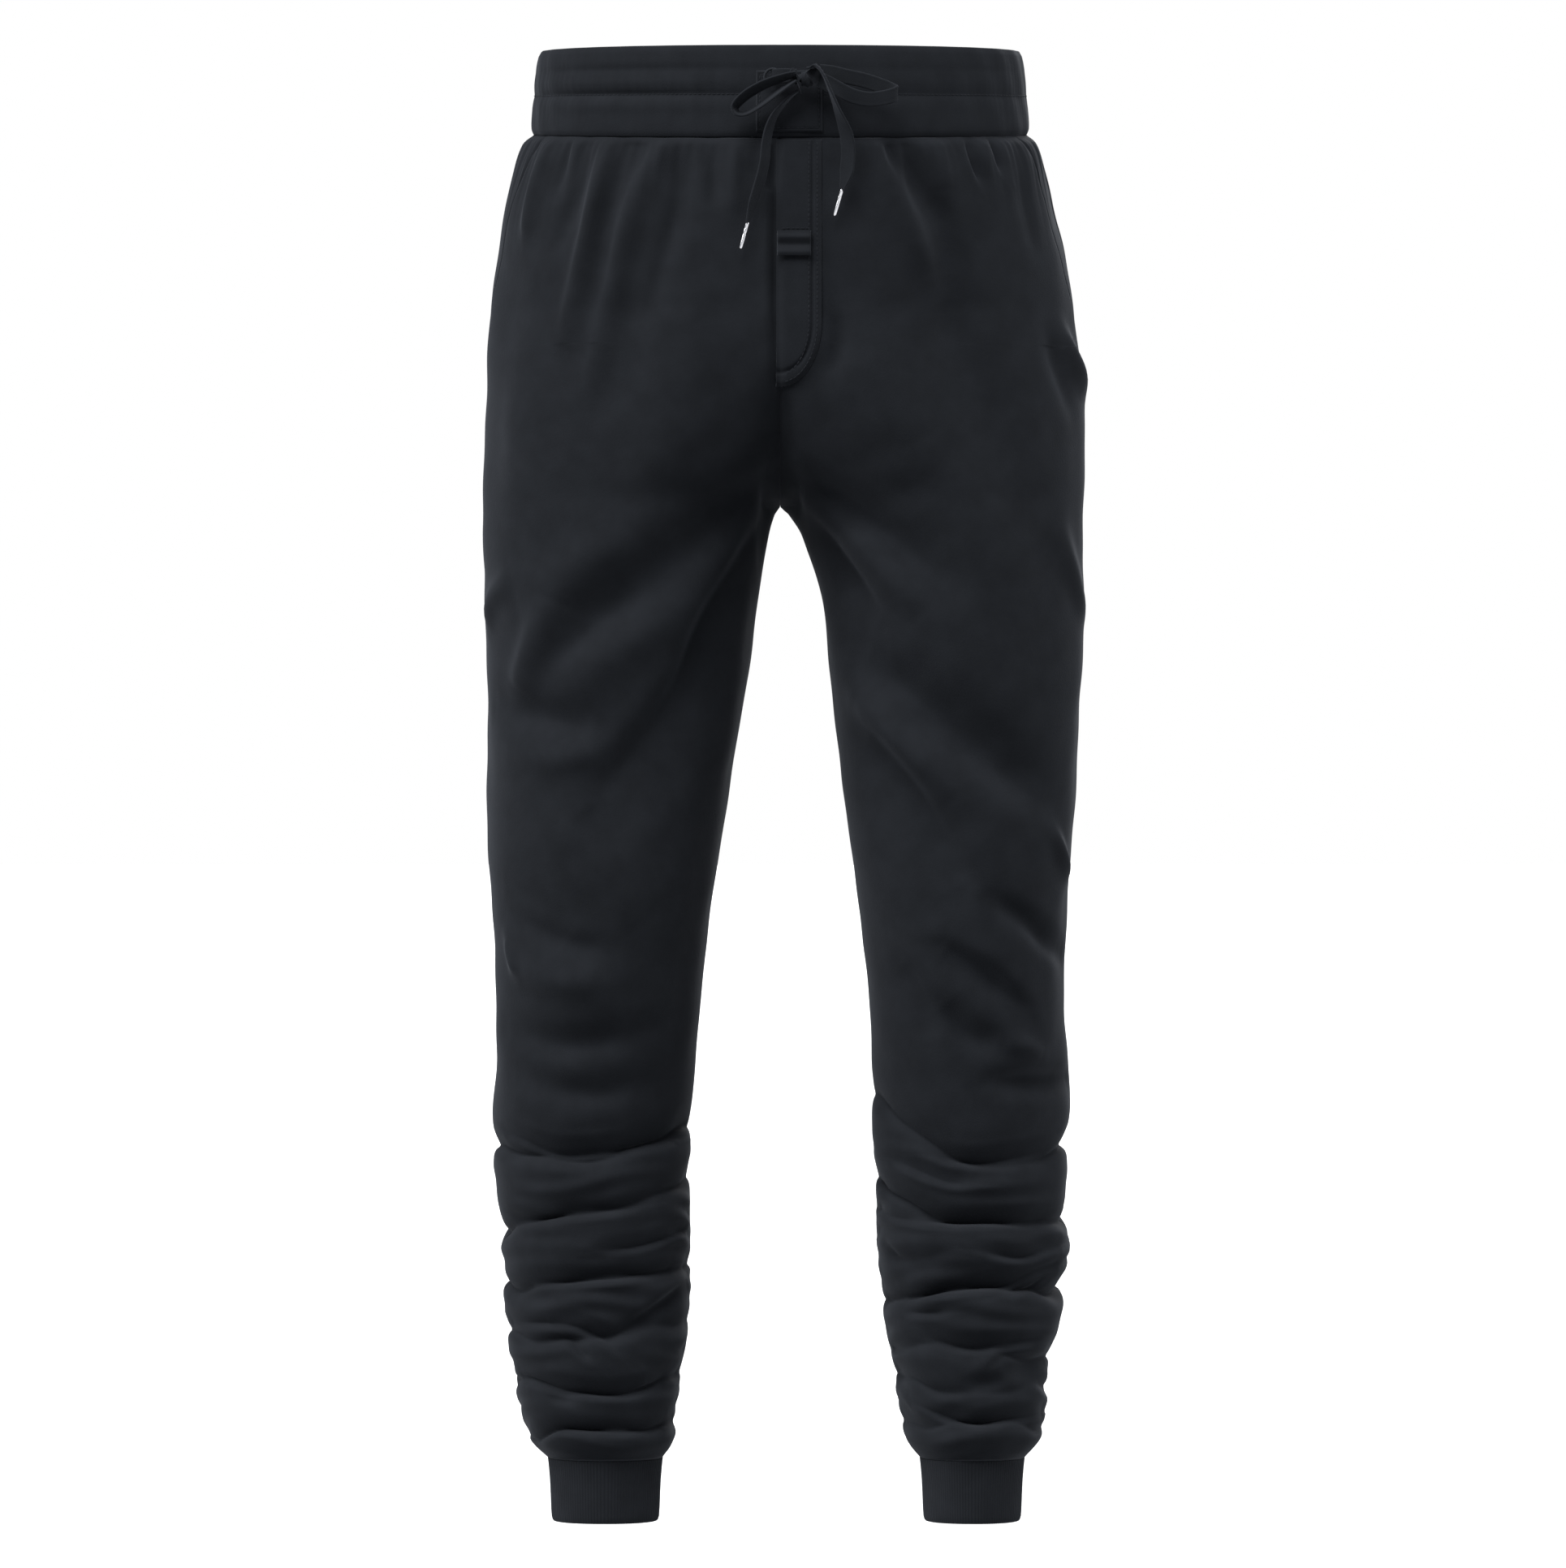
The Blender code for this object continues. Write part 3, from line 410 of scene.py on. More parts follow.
# ---------------------------------------------------------------- the panels' form
def base_points(side, face, levels, shares, end_angles, start_angles=None):
    """Grid of points of the smooth body, the angle round the leg of each, and the way out at each."""
    rows = np.array([leg_section(side, z) for z in levels])
    middle, half, middle_y, depth = (rows[:, k : k + 1] for k in range(4))
    z = np.array(levels)[:, None]
    if start_angles is None:
        part = np.clip((middle - SEAM_GAP / 2) / half, 0, 1)
        start_angles = -np.arcsin(part ** (ROUNDNESS / 2))
    angle = start_angles + shares[None, :] * (end_angles - start_angles)
    x = np.maximum(middle + half * power_trig(np.sin(angle)), SEAM_GAP / 2)
    y = middle_y + face * (SEAM_GAP / 2 + depth * power_trig(np.cos(angle)))
    points = np.stack([side * x, y, z + 0 * x], axis=-1)
    round_leg = -face * (np.pi / 2 + angle)
    out = np.stack([side * power_trig(np.sin(angle)), face * power_trig(np.cos(angle)), 0 * x], axis=-1)
    out /= np.linalg.norm(out, axis=-1, keepdims=True) + 1e-9
    return points, round_leg, out


def ring_value(inside, front, outside, back, angle):
    mean = (inside + front + outside + back) / 4
    second = ((inside + outside) - (front + back)) / 4
    first = (inside - outside) / 2 * np.cos(angle) + (front - back) / 2 * np.sin(angle)
    return mean + first + second * np.cos(2 * angle)


def fold_push(side, z, angle):
    """Depth in mm, and drop in mm, that the folds round the lower leg give the cloth."""
    depth = np.zeros_like(angle)
    drop = np.zeros_like(angle)
    for row, fold in enumerate(FOLDS_LEFT if side > 0 else FOLDS_RIGHT):
        level = ring_value(*fold[:4], angle)
        reach = np.maximum(ring_value(*fold[4:], angle), 0)
        wave = 0.0022 * np.sin(3 * angle + 1.7 * row) + 0.0012 * np.sin(7 * angle + 2.3 * row)
        away = (z - level - wave) * 1000
        width = np.where(away > 0, 11.0, 6.0)
        depth += reach * (0.90 * bell(away, width) + 0.45 * bell(away, np.where(away > 0, 4.5, 2.2)))
        drop += 0.36 * reach * bell(away - 3.5, 5.0)
    return depth, drop


def crease_line(crease, face):
    """A crease's points on the smooth body, closely spaced."""
    keys = [0.0]
    for a, b in zip(crease.points, crease.points[1:]):
        keys.append(keys[-1] + math.dist(a, b))
    count = max(2, round(keys[-1] / 5))
    line = []
    for i in range(count + 1):
        at = keys[-1] * i / count
        x, z = (0.001 * smooth_between(keys, [p[k] for p in crease.points], at) for k in range(2))
        middle, half, middle_y, depth = leg_section(1 if x > 0 else -1, z)
        part = min(abs(abs(x) - middle) / half, 1.0)
        line.append((x, middle_y + face * depth * (1 - part**ROUNDNESS) ** (1 / ROUNDNESS), z))
    return np.array(line)


def crease_push(points, face):
    """Depth and drop in mm that the creases of one face give at the points."""
    flat = points.reshape(-1, 3)
    depth = np.zeros(len(flat))
    drop = np.zeros(len(flat))
    for crease in FRONT_CREASES if face < 0 else BACK_CREASES:
        line = crease_line(crease, face)
        reach = 0.003 * max(crease.above, crease.below) + 0.004
        near = np.all((flat > line.min(0) - reach) & (flat < line.max(0) + reach), axis=1)
        index = np.flatnonzero(near)
        if not len(index):
            continue
        spot = flat[index]
        best = np.full(len(index), 1e9)
        signed = np.zeros(len(index))
        along = np.zeros(len(index))
        for k, (a, b) in enumerate(zip(line, line[1:])):
            run = b - a
            t = np.clip((spot - a) @ run / (run @ run), 0, 1)
            gap = spot - a - t[:, None] * run
            far = np.linalg.norm(gap, axis=1)
            up = np.array((-run[2], 0.0, run[0]))
            up = up if up[2] > 0 or (abs(up[2]) < 1e-6 and up[0] > 0) else -up
            above = np.clip(2.5 * (gap @ up) / (far * np.linalg.norm(up) + 1e-12), -1, 1)
            closer = far < best
            best = np.where(closer, far, best)
            signed = np.where(closer, above, signed)
            along = np.where(closer, (k + t) / (len(line) - 1), along)
        sharp = crease.above < SHARP_BELOW
        high, low = crease.above * SOFT_SPREAD, crease.below * SOFT_SPREAD
        if sharp:
            high, low = 1.35 * crease.below, crease.above
        width = low + (high - low) * (0.5 + 0.5 * signed)
        taper = np.sin(np.pi * np.clip(along * 0.92 + 0.04, 0, 1)) ** 0.6
        away = best * 1000
        deep = crease.depth * (SHARP_GAIN if sharp else SOFT_GAIN)
        depth[index] += deep * taper * np.exp(-((away / width) ** (1.5 if sharp else 2.0)))
        if sharp:
            drop[index] += 0.42 * deep * taper * bell(signed * away - 3.0, 3.5)
            depth[index] -= 0.22 * deep * taper * bell(signed * away - 9.0, 4.0)
            depth[index] -= 0.25 * deep * taper * bell(signed * away + 5.0, 2.5)
    return depth.reshape(points.shape[:2]), drop.reshape(points.shape[:2])


def gather_depth(points, angle):
    """The small pleats under the waistband, in mm, fading out downwards."""
    below = np.maximum(PANEL_TOP - points[..., 2], 0)
    run = angle * 140
    waves = np.sin(run * 0.42 + 1.3 * np.sin(run * 0.07)) * (0.6 + 0.4 * np.sin(run * 0.11 + 1))
    fine = 0.4 * np.sin(run * 0.93 + 2.0)
    return 1.3 * (waves + fine) * np.exp(-below / 0.024) * (1 - np.exp(-below / 0.004))


def ripple(points):
    """Slight unevenness of soft cloth, in mm."""
    x, y, z = (points[..., k] * 1000 for k in range(3))
    slow = np.sin(x * 0.045 + z * 0.021 + 1) * np.sin(y * 0.05 - z * 0.034) * 1.1
    quick = np.sin(x * 0.11 - z * 0.083 + y * 0.09) * np.sin(z * 0.067 + y * 0.05 + 2) * 0.45
    pushed = np.clip((WRINKLE_TOP - points[..., 2]) / 0.05, 0, 1)
    turn = np.arctan2(points[..., 1], np.abs(points[..., 0]) - 0.12)
    bent = z * 0.43 + 2.1 * np.sin(2 * turn + 0.021 * z)
    bent += 1.2 * np.sin(3 * turn - 0.05 * z + np.sign(x))
    fine = np.sin(bent) * (0.55 + 0.45 * np.sin(2.6 * turn + 0.07 * z))
    return slow + quick + 0.85 * pushed * fine


def shaped(side, face, levels, shares, ends, starts=None, lift=0.0, seams=True):
    """The finished grid of outer points of a panel."""
    points, angle, out = base_points(side, face, levels, shares, ends, starts)
    z = points[..., 2]
    across = np.linalg.norm(np.diff(points, axis=1), axis=-1)
    run = np.concatenate([np.zeros((len(points), 1)), np.cumsum(across, axis=1)], axis=1)
    soft = points.copy()
    for _ in range(16):
        soft[1:-1] = (soft[:-2] + 2 * soft[1:-1] + soft[2:]) / 4
    share = bell(z - CROTCH, 0.016) * (1 - bell(run, 0.010))
    points[..., :2] += (soft - points)[..., :2] * share[..., None]
    fold, fold_drop = fold_push(side, z, angle)
    creases = [crease_push(points, one_face) for one_face in (-1, 1)]
    drop = fold_drop + creases[0][1] + creases[1][1]
    inward = fold + creases[0][0] + creases[1][0]
    inward = inward + gather_depth(points, angle) + ripple(points) - lift * 1000
    top_fade = np.clip((PANEL_TOP - z) / 0.006, 0, 1)
    low_fade = np.clip((z - PANEL_BOTTOM) / 0.006, 0, 1)
    inward = inward * top_fade * low_fade + 1.5 * bell(PANEL_TOP - z, 0.0022)
    if seams:
        edge = np.minimum(run, run[:, -1:] - run)
        inward = inward + 1.3 * bell(edge, 0.0016)
    rest_x = points[..., 0].copy()
    points = points - out * (inward * 0.001)[..., None]
    if seams:
        seat = np.clip((z - CROTCH + 0.045) / 0.045, 0, 1)
        hold = bell(run, 0.012) * (0.55 + 0.45 * seat * seat * (3 - 2 * seat))
        points[..., 0] += (rest_x - points[..., 0]) * hold
    fade = np.clip(1 - (PANEL_TOP - z) / TILT_FADE, 0, 1)
    points[..., 2] += BAND_BOTTOM_TILT * fade * points[..., 1] - 0.001 * drop * low_fade * top_fade
    if face < 0:  # both long edges of a front panel tuck under the back panel's
        points[:, -1] += (-0.0008 * side, 0.0009, 0)
        points[:, 0] += (z[:, :1] < CROTCH) * np.array((0.0008 * side, 0.0009, 0))
    least = np.where(z > CROTCH - 0.002, -0.0002, 0.0001)
    past = np.where((run < 1e-6) & (z > CROTCH), 0.0003, 0)
    points[..., 0] = side * np.maximum(side * points[..., 0] - past, least)
    return points


# ---------------------------------------------------------------- mesh making
def mesh_object(name, verts, faces, material, smooth=True):
    mesh = bpy.data.meshes.new(name)
    mesh.from_pydata([tuple(map(float, v)) for v in verts], [], [tuple(map(int, f)) for f in faces])
    obj = bpy.data.objects.new(name, mesh)
    bpy.context.scene.collection.objects.link(obj)
    mesh.materials.append(material)
    if smooth:
        mesh.shade_smooth()
    return obj


def grid_faces(rows, columns, start=0, wrap=False, closed=False):
    """Faces of a grid of points, joined across its sides if wrap, and from last row to first if closed."""
    i, j = np.meshgrid(np.arange(rows - (not closed)), np.arange(columns - (not wrap)), indexing="ij")
    k, down = (j + 1) % columns, (i + 1) % rows * columns
    corners = [i * columns + j, i * columns + k, down + k, down + j]
    return start + np.stack(corners, axis=-1).reshape(-1, 4)


def tube_faces(rows, columns, start=0):
    """Faces of a tube of rings, with both ends closed."""
    faces = grid_faces(rows, columns, start, wrap=True).tolist()
    faces.append([start + k for k in reversed(range(columns))])
    faces.append([start + (rows - 1) * columns + k for k in range(columns)])
    return faces


def grid_normals(points):
    down = np.gradient(points, axis=0)
    across = np.gradient(points, axis=1)
    normal = np.cross(down, across)
    return normal / (np.linalg.norm(normal, axis=-1, keepdims=True) + 1e-12)


def sheet_object(name, outer, material, wall=WALL, outward=None):
    """A sheet of cloth with a wall, closed round its rim, from the grid of its outer points."""
    normal = grid_normals(outer)
    for i in np.flatnonzero(np.linalg.norm(np.diff(outer[:, 0], axis=0), axis=-1) < 0.0006):
        if 2 < i < len(outer) - 4:  # two rows this close give no true normal
            normal[i - 1 : i + 3] = (normal[i - 2] + normal[i + 3]) / 2
    guide = outer - outer.mean(axis=(0, 1)) if outward is None else np.array(outward)
    turn = -1 if np.sum(normal * guide) < 0 else 1
    inner = outer - turn * normal * wall
    rows, columns = outer.shape[:2]
    verts = np.concatenate([outer.reshape(-1, 3), inner.reshape(-1, 3)])
    front = grid_faces(rows, columns)
    back = grid_faces(rows, columns, rows * columns)[:, ::-1]
    size = rows * columns
    ring = list(range(columns)) + [i * columns + columns - 1 for i in range(1, rows)]
    ring += [(rows - 1) * columns + j for j in range(columns - 2, -1, -1)]
    ring += [i * columns for i in range(rows - 2, 0, -1)]
    rim = [(b, a, a + size, b + size) for a, b in zip(ring, ring[1:] + ring[:1])]
    return mesh_object(name, verts, np.concatenate([front, back, np.array(rim)])[:, ::turn], material)


def ring_object(name, rings, material):
    """A closed tube of cloth from rings of points that follow its profile, out and back in."""
    rings = np.array(rings)
    faces = grid_faces(*rings.shape[:2], wrap=True, closed=True)
    obj = mesh_object(name, rings.reshape(-1, 3), faces, material)
    fix_normals(obj)
    return obj


def belong(obj, slot, *nodes):
    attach(obj, "root")
    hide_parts(*nodes)


def fix_normals(obj):
    """Turns the faces out."""
    bm = bmesh.new()
    bm.from_mesh(obj.data)
    bmesh.ops.recalc_face_normals(bm, faces=bm.faces[:])
    bm.to_mesh(obj.data)
    bm.free()
    obj.data.shade_smooth()


# ---------------------------------------------------------------- materials
def new_material(name):
    material = bpy.data.materials.new(name)
    material.use_nodes = True
    return material, material.node_tree, material.node_tree.nodes["Principled BSDF"]


def set_inputs(node, **values):
    for name, value in values.items():
        node.inputs[name.replace("_", " ")].default_value = value


def add_noise(tree, scale, detail=2.0):
    """A noise texture in the object's own space."""
    noise = tree.nodes.new("ShaderNodeTexNoise")
    set_inputs(noise, Scale=scale, Detail=detail)
    place = tree.nodes.new("ShaderNodeTexCoord")
    tree.links.new(place.outputs["Object"], noise.inputs["Vector"])
    return noise.outputs["Fac"]


def cloth_material(name, colour, roughness, sheen, scale, bump):
    material, tree, shader = new_material(name)
    set_inputs(shader, Roughness=roughness, Specular_IOR_Level=0.06, Sheen_Weight=sheen)
    set_inputs(shader, Sheen_Roughness=0.45, Sheen_Tint=(0.80, 0.86, 1.0, 1.0))
    ramp = tree.nodes.new("ShaderNodeValToRGB")
    for element, position, gain in zip(ramp.color_ramp.elements, (0.30, 0.72), (0.88, 1.12)):
        element.position = position
        element.color = (*[c * gain for c in colour], 1)
    lift = tree.nodes.new("ShaderNodeBump")
    set_inputs(lift, Strength=bump, Distance=0.0004)
    tree.links.new(add_noise(tree, 60.0, 4.0), ramp.inputs["Fac"])
    tree.links.new(ramp.outputs["Color"], shader.inputs["Base Color"])
    tree.links.new(add_noise(tree, scale, 3.0), lift.inputs["Height"])
    tree.links.new(lift.outputs["Normal"], shader.inputs["Normal"])
    return material


def metal_material():
    material, tree, shader = new_material("tip metal")
    set_inputs(shader, Base_Color=(0.50, 0.50, 0.52, 1.0), Metallic=1.0)
    spread = tree.nodes.new("ShaderNodeMapRange")
    set_inputs(spread, To_Min=0.22, To_Max=0.40)
    tree.links.new(add_noise(tree, 900.0), spread.inputs["Value"])
    tree.links.new(spread.outputs["Result"], shader.inputs["Roughness"])
    return material


FLEECE = cloth_material("fleece knit", (0.0100, 0.0112, 0.0136), 0.90, 0.05, 900.0, 0.35)
RIB = cloth_material("cuff rib", (0.0106, 0.0118, 0.0142), 0.9, 0.05, 900.0, 0.3)
TAPE = cloth_material("drawstring tape", (0.0108, 0.0121, 0.0146), 0.85, 0.06, 1400.0, 0.5)
THREAD = cloth_material("sewing thread", (0.0130, 0.0145, 0.0175), 0.7, 0.1, 2500.0, 0.3)
TIP = metal_material()


# ---------------------------------------------------------------- camera and stage
def make_camera():
    data = bpy.data.cameras.new("camera")
    data.sensor_width = SENSOR
    data.lens = SENSOR * -CAMERA_AT[1] / VIEW_WIDTH
    data.clip_end = 100
    camera = bpy.data.objects.new("camera", data)
    camera.location = CAMERA_AT
    camera.rotation_euler = (math.pi / 2, 0, 0)
    bpy.context.scene.collection.objects.link(camera)
    bpy.context.scene.camera = camera


def add_sun(name, at, strength, angle):
    """A soft distant light that shines from `at` towards the garment."""
    data = bpy.data.lights.new(name, "SUN")
    data.energy = strength
    data.angle = math.radians(angle)
    light = bpy.data.objects.new(name, data)
    light.location = at
    light.rotation_euler = Vector(at).to_track_quat("Z", "Y").to_euler()
    bpy.context.scene.collection.objects.link(light)


def make_world():
    """A white backdrop all round, which lights the garment only faintly."""
    world = bpy.data.worlds.new("studio")
    world.use_nodes = True
    tree = world.node_tree
    faint = tree.nodes["Background"]
    set_inputs(faint, Color=(0.93, 0.96, 1.0, 1.0), Strength=AMBIENT)
    white = tree.nodes.new("ShaderNodeBackground")
    set_inputs(white, Color=(1.0, 1.0, 1.0, 1.0))
    path = tree.nodes.new("ShaderNodeLightPath")
    either = tree.nodes.new("ShaderNodeMixShader")
    tree.links.new(path.outputs["Is Camera Ray"], either.inputs["Fac"])
    tree.links.new(faint.outputs["Background"], either.inputs[1])
    tree.links.new(white.outputs["Background"], either.inputs[2])
    tree.links.new(either.outputs["Shader"], tree.nodes["World Output"].inputs["Surface"])
    bpy.context.scene.world = world


def make_stage():
    make_world()
    bpy.context.scene.view_settings.view_transform = "Standard"
    add_sun("key", (-0.45, -1.05, 1.50), 4.1, 38)
    add_sun("back", (0.45, 1.4, 0.7), 1.7, 30)
    add_sun("left", (-1.4, -0.45, 0.80), 1.9, 18)
    add_sun("right", (1.5, -0.10, 0.35), 1.3, 25)
    floor, _, shader = new_material("pale floor")
    set_inputs(shader, Base_Color=(0.86, 0.86, 0.86, 1), Roughness=0.9)
    corners = [(x * FLOOR_REACH, y * FLOOR_REACH, FLOOR) for x, y in ((-1, -1), (1, -1), (1, 1), (-1, 1))]
    ground = mesh_object("floor", corners, [(0, 1, 2, 3)], floor, smooth=False)
    ground.visible_diffuse = False  # no light thrown up under the folds


make_camera()


# ---------------------------------------------------------------- the drawstring
def read_route(stops, step):
    lengths = [0.0]
    for a, b in zip(stops, stops[1:]):
        lengths.append(lengths[-1] + math.dist(a[:3], b[:3]))
    count = max(4, round(lengths[-1] / step))
    rows = []
    for i in range(count + 1):
        at = lengths[-1] * i / count
        rows.append([smooth_between(lengths, [stop[k] for stop in stops], at) for k in range(4)])
    rows = np.array(rows)
    rows[:, 2] += BOW_LEVEL
    return rows[:, :3], np.radians(rows[:, 3])


# Half of the tape's outline from edge to edge, then the other half turned round.
TAPE_HALF = [
    (0.5, 0.0), (0.485, 0.3), (0.43, 0.5), (0.36, 0.42), (0.2, 0.47),
    (0.0, 0.45), (-0.2, 0.47), (-0.36, 0.42), (-0.43, 0.5), (-0.485, 0.3),
]
TAPE_PROFILE = TAPE_HALF + [(-across, -out) for across, out in TAPE_HALF]


def tape_mesh(stops, across, pointed=False):
    """Points and faces of a flat tape swept along its route."""
    points, rolls = read_route(stops, 0.0008)
    run = np.gradient(points, axis=0)
    run /= np.linalg.norm(run, axis=1, keepdims=True)
    lengths = np.concatenate([[0], np.cumsum(np.linalg.norm(np.diff(points, axis=0), axis=1))])
    wide = np.array(across) - run * (run @ np.array(across))[:, None]
    wide /= np.linalg.norm(wide, axis=1, keepdims=True)
    side = np.cross(run, wide)
    turn_c, turn_s = np.cos(rolls)[:, None], np.sin(rolls)[:, None]
    wide, side = wide * turn_c + side * turn_s, side * turn_c - wide * turn_s
    width = np.full(len(points), TAPE_WIDTH)
    if pointed:
        left = np.clip((lengths[-1] - lengths) / TAPE_TAPER, 0, 1)
        width = TAPE_TIP_WIDTH + (TAPE_WIDTH - TAPE_TIP_WIDTH) * left
    profile = np.array(TAPE_PROFILE)
    rings = (
        points[:, None]
        + wide[:, None] * (profile[None, :, :1] * width[:, None, None])
        + side[:, None] * (profile[None, :, 1:] * TAPE_THICKNESS)
    )
    return rings.reshape(-1, 3), tube_faces(len(points), len(profile)), points


def make_cord(name, parts, nodes):
    """One side of the drawstring: lead, loop and free end, joined in the knot."""
    verts, faces, path = [], [], []
    whole = [parts[0]]
    for before, after in zip(parts, parts[1:]):
        a, b = before[0][-1], after[0][0]
        whole.append(([a, Stop(*[(p + q) / 2 for p, q in zip(a, b)]), b], before[1], False))
        whole.append(after)
    for stops, across, pointed in whole:
        more, more_faces, points = tape_mesh(stops, across, pointed)
        start = len(verts)
        verts.extend(more.tolist())
        faces.extend([[k + start for k in face] for face in more_faces])
        path.extend(points[::3].tolist() + [points[-1].tolist()])
    obj = mesh_object(name, verts, faces, TAPE)
    fix_normals(obj)
    obj.data.set_sharp_from_angle(angle=math.radians(50))
    belong(obj, "tape", *nodes)


def make_aglet(name, stops):
    """A slim crimped metal tip that carries on the tape's last direction."""
    before = np.array(stops[-2][:3])
    end = np.array(stops[-1][:3])
    run = (end - before) / np.linalg.norm(end - before)
    start = end - run * 0.001 + np.array((0, 0, BOW_LEVEL))
    wide = np.array((0, 1, 0)) - run * run[1]
    wide /= np.linalg.norm(wide)
    side = np.cross(run, wide)
    turns = np.linspace(0, 2 * np.pi, 20, endpoint=False)
    shares = [(0.0, 0.86), (0.01, 0.98), (0.05, 1.0), (0.20, 1.0), (0.23, 0.86), (0.26, 1.0), (0.40, 1.0)]
    shares += [(0.43, 0.86), (0.46, 0.98), (0.80, 0.95), (0.93, 0.86), (0.985, 0.66), (1.0, 0.4)]
    spokes = (np.cos(turns)[:, None] * wide + np.sin(turns)[:, None] * side) * AGLET_RADIUS * AGLET_TRIM
    length = AGLET_LENGTH + 0.001
    rings = np.array([start + run * length * share + spokes * size for share, size in shares])
    obj = mesh_object(name + "_tip", rings.reshape(-1, 3), tube_faces(len(shares), len(turns)), TIP)
    fix_normals(obj)
    belong(obj, "tip", name)
    return obj


def make_knot():
    """The knot: two turns of tape round the crossing, over a small core."""
    verts, faces = [], []
    centre = np.array(KNOT_CENTRE)
    for tilt, radius, width in ((0.0, 0.0044, 0.0080), (0.5, 0.0040, 0.0056)):
        count = 48
        profile = np.array(TAPE_PROFILE)
        turns = np.linspace(0, 2 * np.pi, count, endpoint=False)
        spoke = np.stack([np.sin(tilt) * np.cos(turns) * 0.6, np.sin(turns), np.cos(turns) * 0.92], axis=1)
        rings = (
            centre
            + spoke[:, None] * (radius + profile[None, :, 1:] * 0.0018 + 0.0008 * tilt)
            + np.array((np.cos(tilt), 0, -np.sin(tilt)))[None, None] * profile[None, :, :1] * width
        )
        faces.extend(grid_faces(count, len(profile), len(verts), wrap=True, closed=True).tolist())
        verts.extend(rings.reshape(-1, 3).tolist())
    obj = mesh_object("bow_knot", verts, faces, TAPE)
    bm = bmesh.new()
    bm.from_mesh(obj.data)
    bmesh.ops.create_uvsphere(bm, u_segments=24, v_segments=16, radius=1.0)
    core = bm.verts[len(verts):]
    bmesh.ops.scale(bm, vec=(0.0056, 0.0040, 0.0038), verts=core)
    bmesh.ops.translate(bm, vec=KNOT_CENTRE, verts=core)
    bm.to_mesh(obj.data)
    bm.free()
    fix_normals(obj)
    belong(obj, "tape", "drawstring_knot")


UPRIGHT = (0, 0, 1)
OUTWARD = (0, 1, 0)


def make_drawstring():
    tips = {"left": make_aglet("aglet_left", END_LEFT), "right": make_aglet("aglet_right", END_RIGHT)}
    make_knot()
    left = [(LEAD_LEFT, OUTWARD, False), (LOOP_LEFT, OUTWARD, False), (END_LEFT, OUTWARD, True)]
    right = [(LEAD_RIGHT, OUTWARD, False), (LOOP_RIGHT, UPRIGHT, False), (END_RIGHT, OUTWARD, True)]
    for name, parts in (("left", left), ("right", right)):
        nodes = ["drawstring_" + word + "_" + name for word in ("lead", "loop", "end")]
        make_cord("cord_" + name, parts, nodes)


make_drawstring()
make_stage()


# ---------------------------------------------------------------- the cloth pieces
def panel_levels():
    seat = PANEL_TOP + (CROTCH - PANEL_TOP) * np.linspace(0, 1, PANEL_ROWS_SEAT, endpoint=False) ** 1.25
    leg = np.linspace(CROTCH, STACK_TOP, PANEL_ROWS_LEG, endpoint=False)
    stack = np.linspace(STACK_TOP, PANEL_BOTTOM, PANEL_ROWS_STACK)
    return np.concatenate([seat, leg, stack])


def panel_shares():
    """Columns, closer together at both edges."""
    edge = np.array([0.0, 0.002, 0.0045, 0.008, 0.013])
    return np.concatenate([edge, np.linspace(0.02, 0.98, PANEL_COLUMNS), 1 - edge[::-1]])


def declare(obj, node, slot="fleece"):
    belong(obj, slot, node)


def pocket_angles(levels):
    share = np.clip((PANEL_TOP - levels) / (PANEL_TOP - POCKET_BOTTOM), 0, 1)
    return POCKET_ANGLE_TOP + share * (POCKET_ANGLE_BOTTOM - POCKET_ANGLE_TOP)


def make_panels():
    for name, side in SIDES:
        levels = panel_levels()
        shares = panel_shares()
        above = levels[levels > POCKET_BOTTOM + 0.001]
        below = levels[levels < POCKET_BOTTOM - 0.0015]
        front = np.concatenate([above, [POCKET_BOTTOM, POCKET_BOTTOM - SEAM_GAP], below])
        ends = np.where(front > POCKET_BOTTOM - SEAM_GAP / 2, pocket_angles(front), np.pi / 2)[:, None]
        grid = shaped(side, -1, front, shares, ends)
        obj = sheet_object("front_panel_" + name, grid, FLEECE)
        declare(obj, "front_" + name)
        grid = shaped(side, 1, levels, shares, np.full((len(levels), 1), np.pi / 2))
        obj = sheet_object("back_panel_" + name, grid, FLEECE)
        declare(obj, "back_" + name)
        facing = np.linspace(PANEL_TOP, POCKET_BOTTOM, 90)
        halves = np.array([[leg_section(side, z)[1]] for z in facing])
        starts = pocket_angles(facing)[:, None] - FACING_UNDER / halves
        ends = np.full((len(facing), 1), np.pi / 2)
        shares = np.linspace(0, 1, 40)
        past = shares[None, :] * (ends - starts) * halves - FACING_UNDER
        lift = -0.0024 + 0.0017 * np.clip(past / 0.003, 0, 1)
        grid = shaped(side, -1, facing, shares, ends, starts, lift=lift, seams=False)
        obj = sheet_object("pocket_piece_" + name, grid, FLEECE, wall=0.0012)
        declare(obj, "pocket_facing_" + name)


def band_out(share):
    keys = [p.share for p in BAND_OUTSIDE]
    return 0.001 * smooth_between(keys, [p.out for p in BAND_OUTSIDE], share)


def band_point(angle, share, out):
    """Points of the waistband at angles round it, a share of its height, and out in metres."""
    base = SECTIONS[0]
    half = base.out_left - BAND_LEAN * share + out
    middle_y = (base.front + base.back) / 2
    depth = (base.back - base.front) / 2 - BAND_LEAN * share + out
    x = half * power_trig(np.sin(angle))
    y = middle_y - depth * power_trig(np.cos(angle))
    bottom = BAND_BOTTOM + BAND_BOTTOM_TILT * y
    top = BAND_TOP + BAND_TOP_TILT * y
    return np.stack([x, y, bottom + (top - bottom) * share], axis=-1)


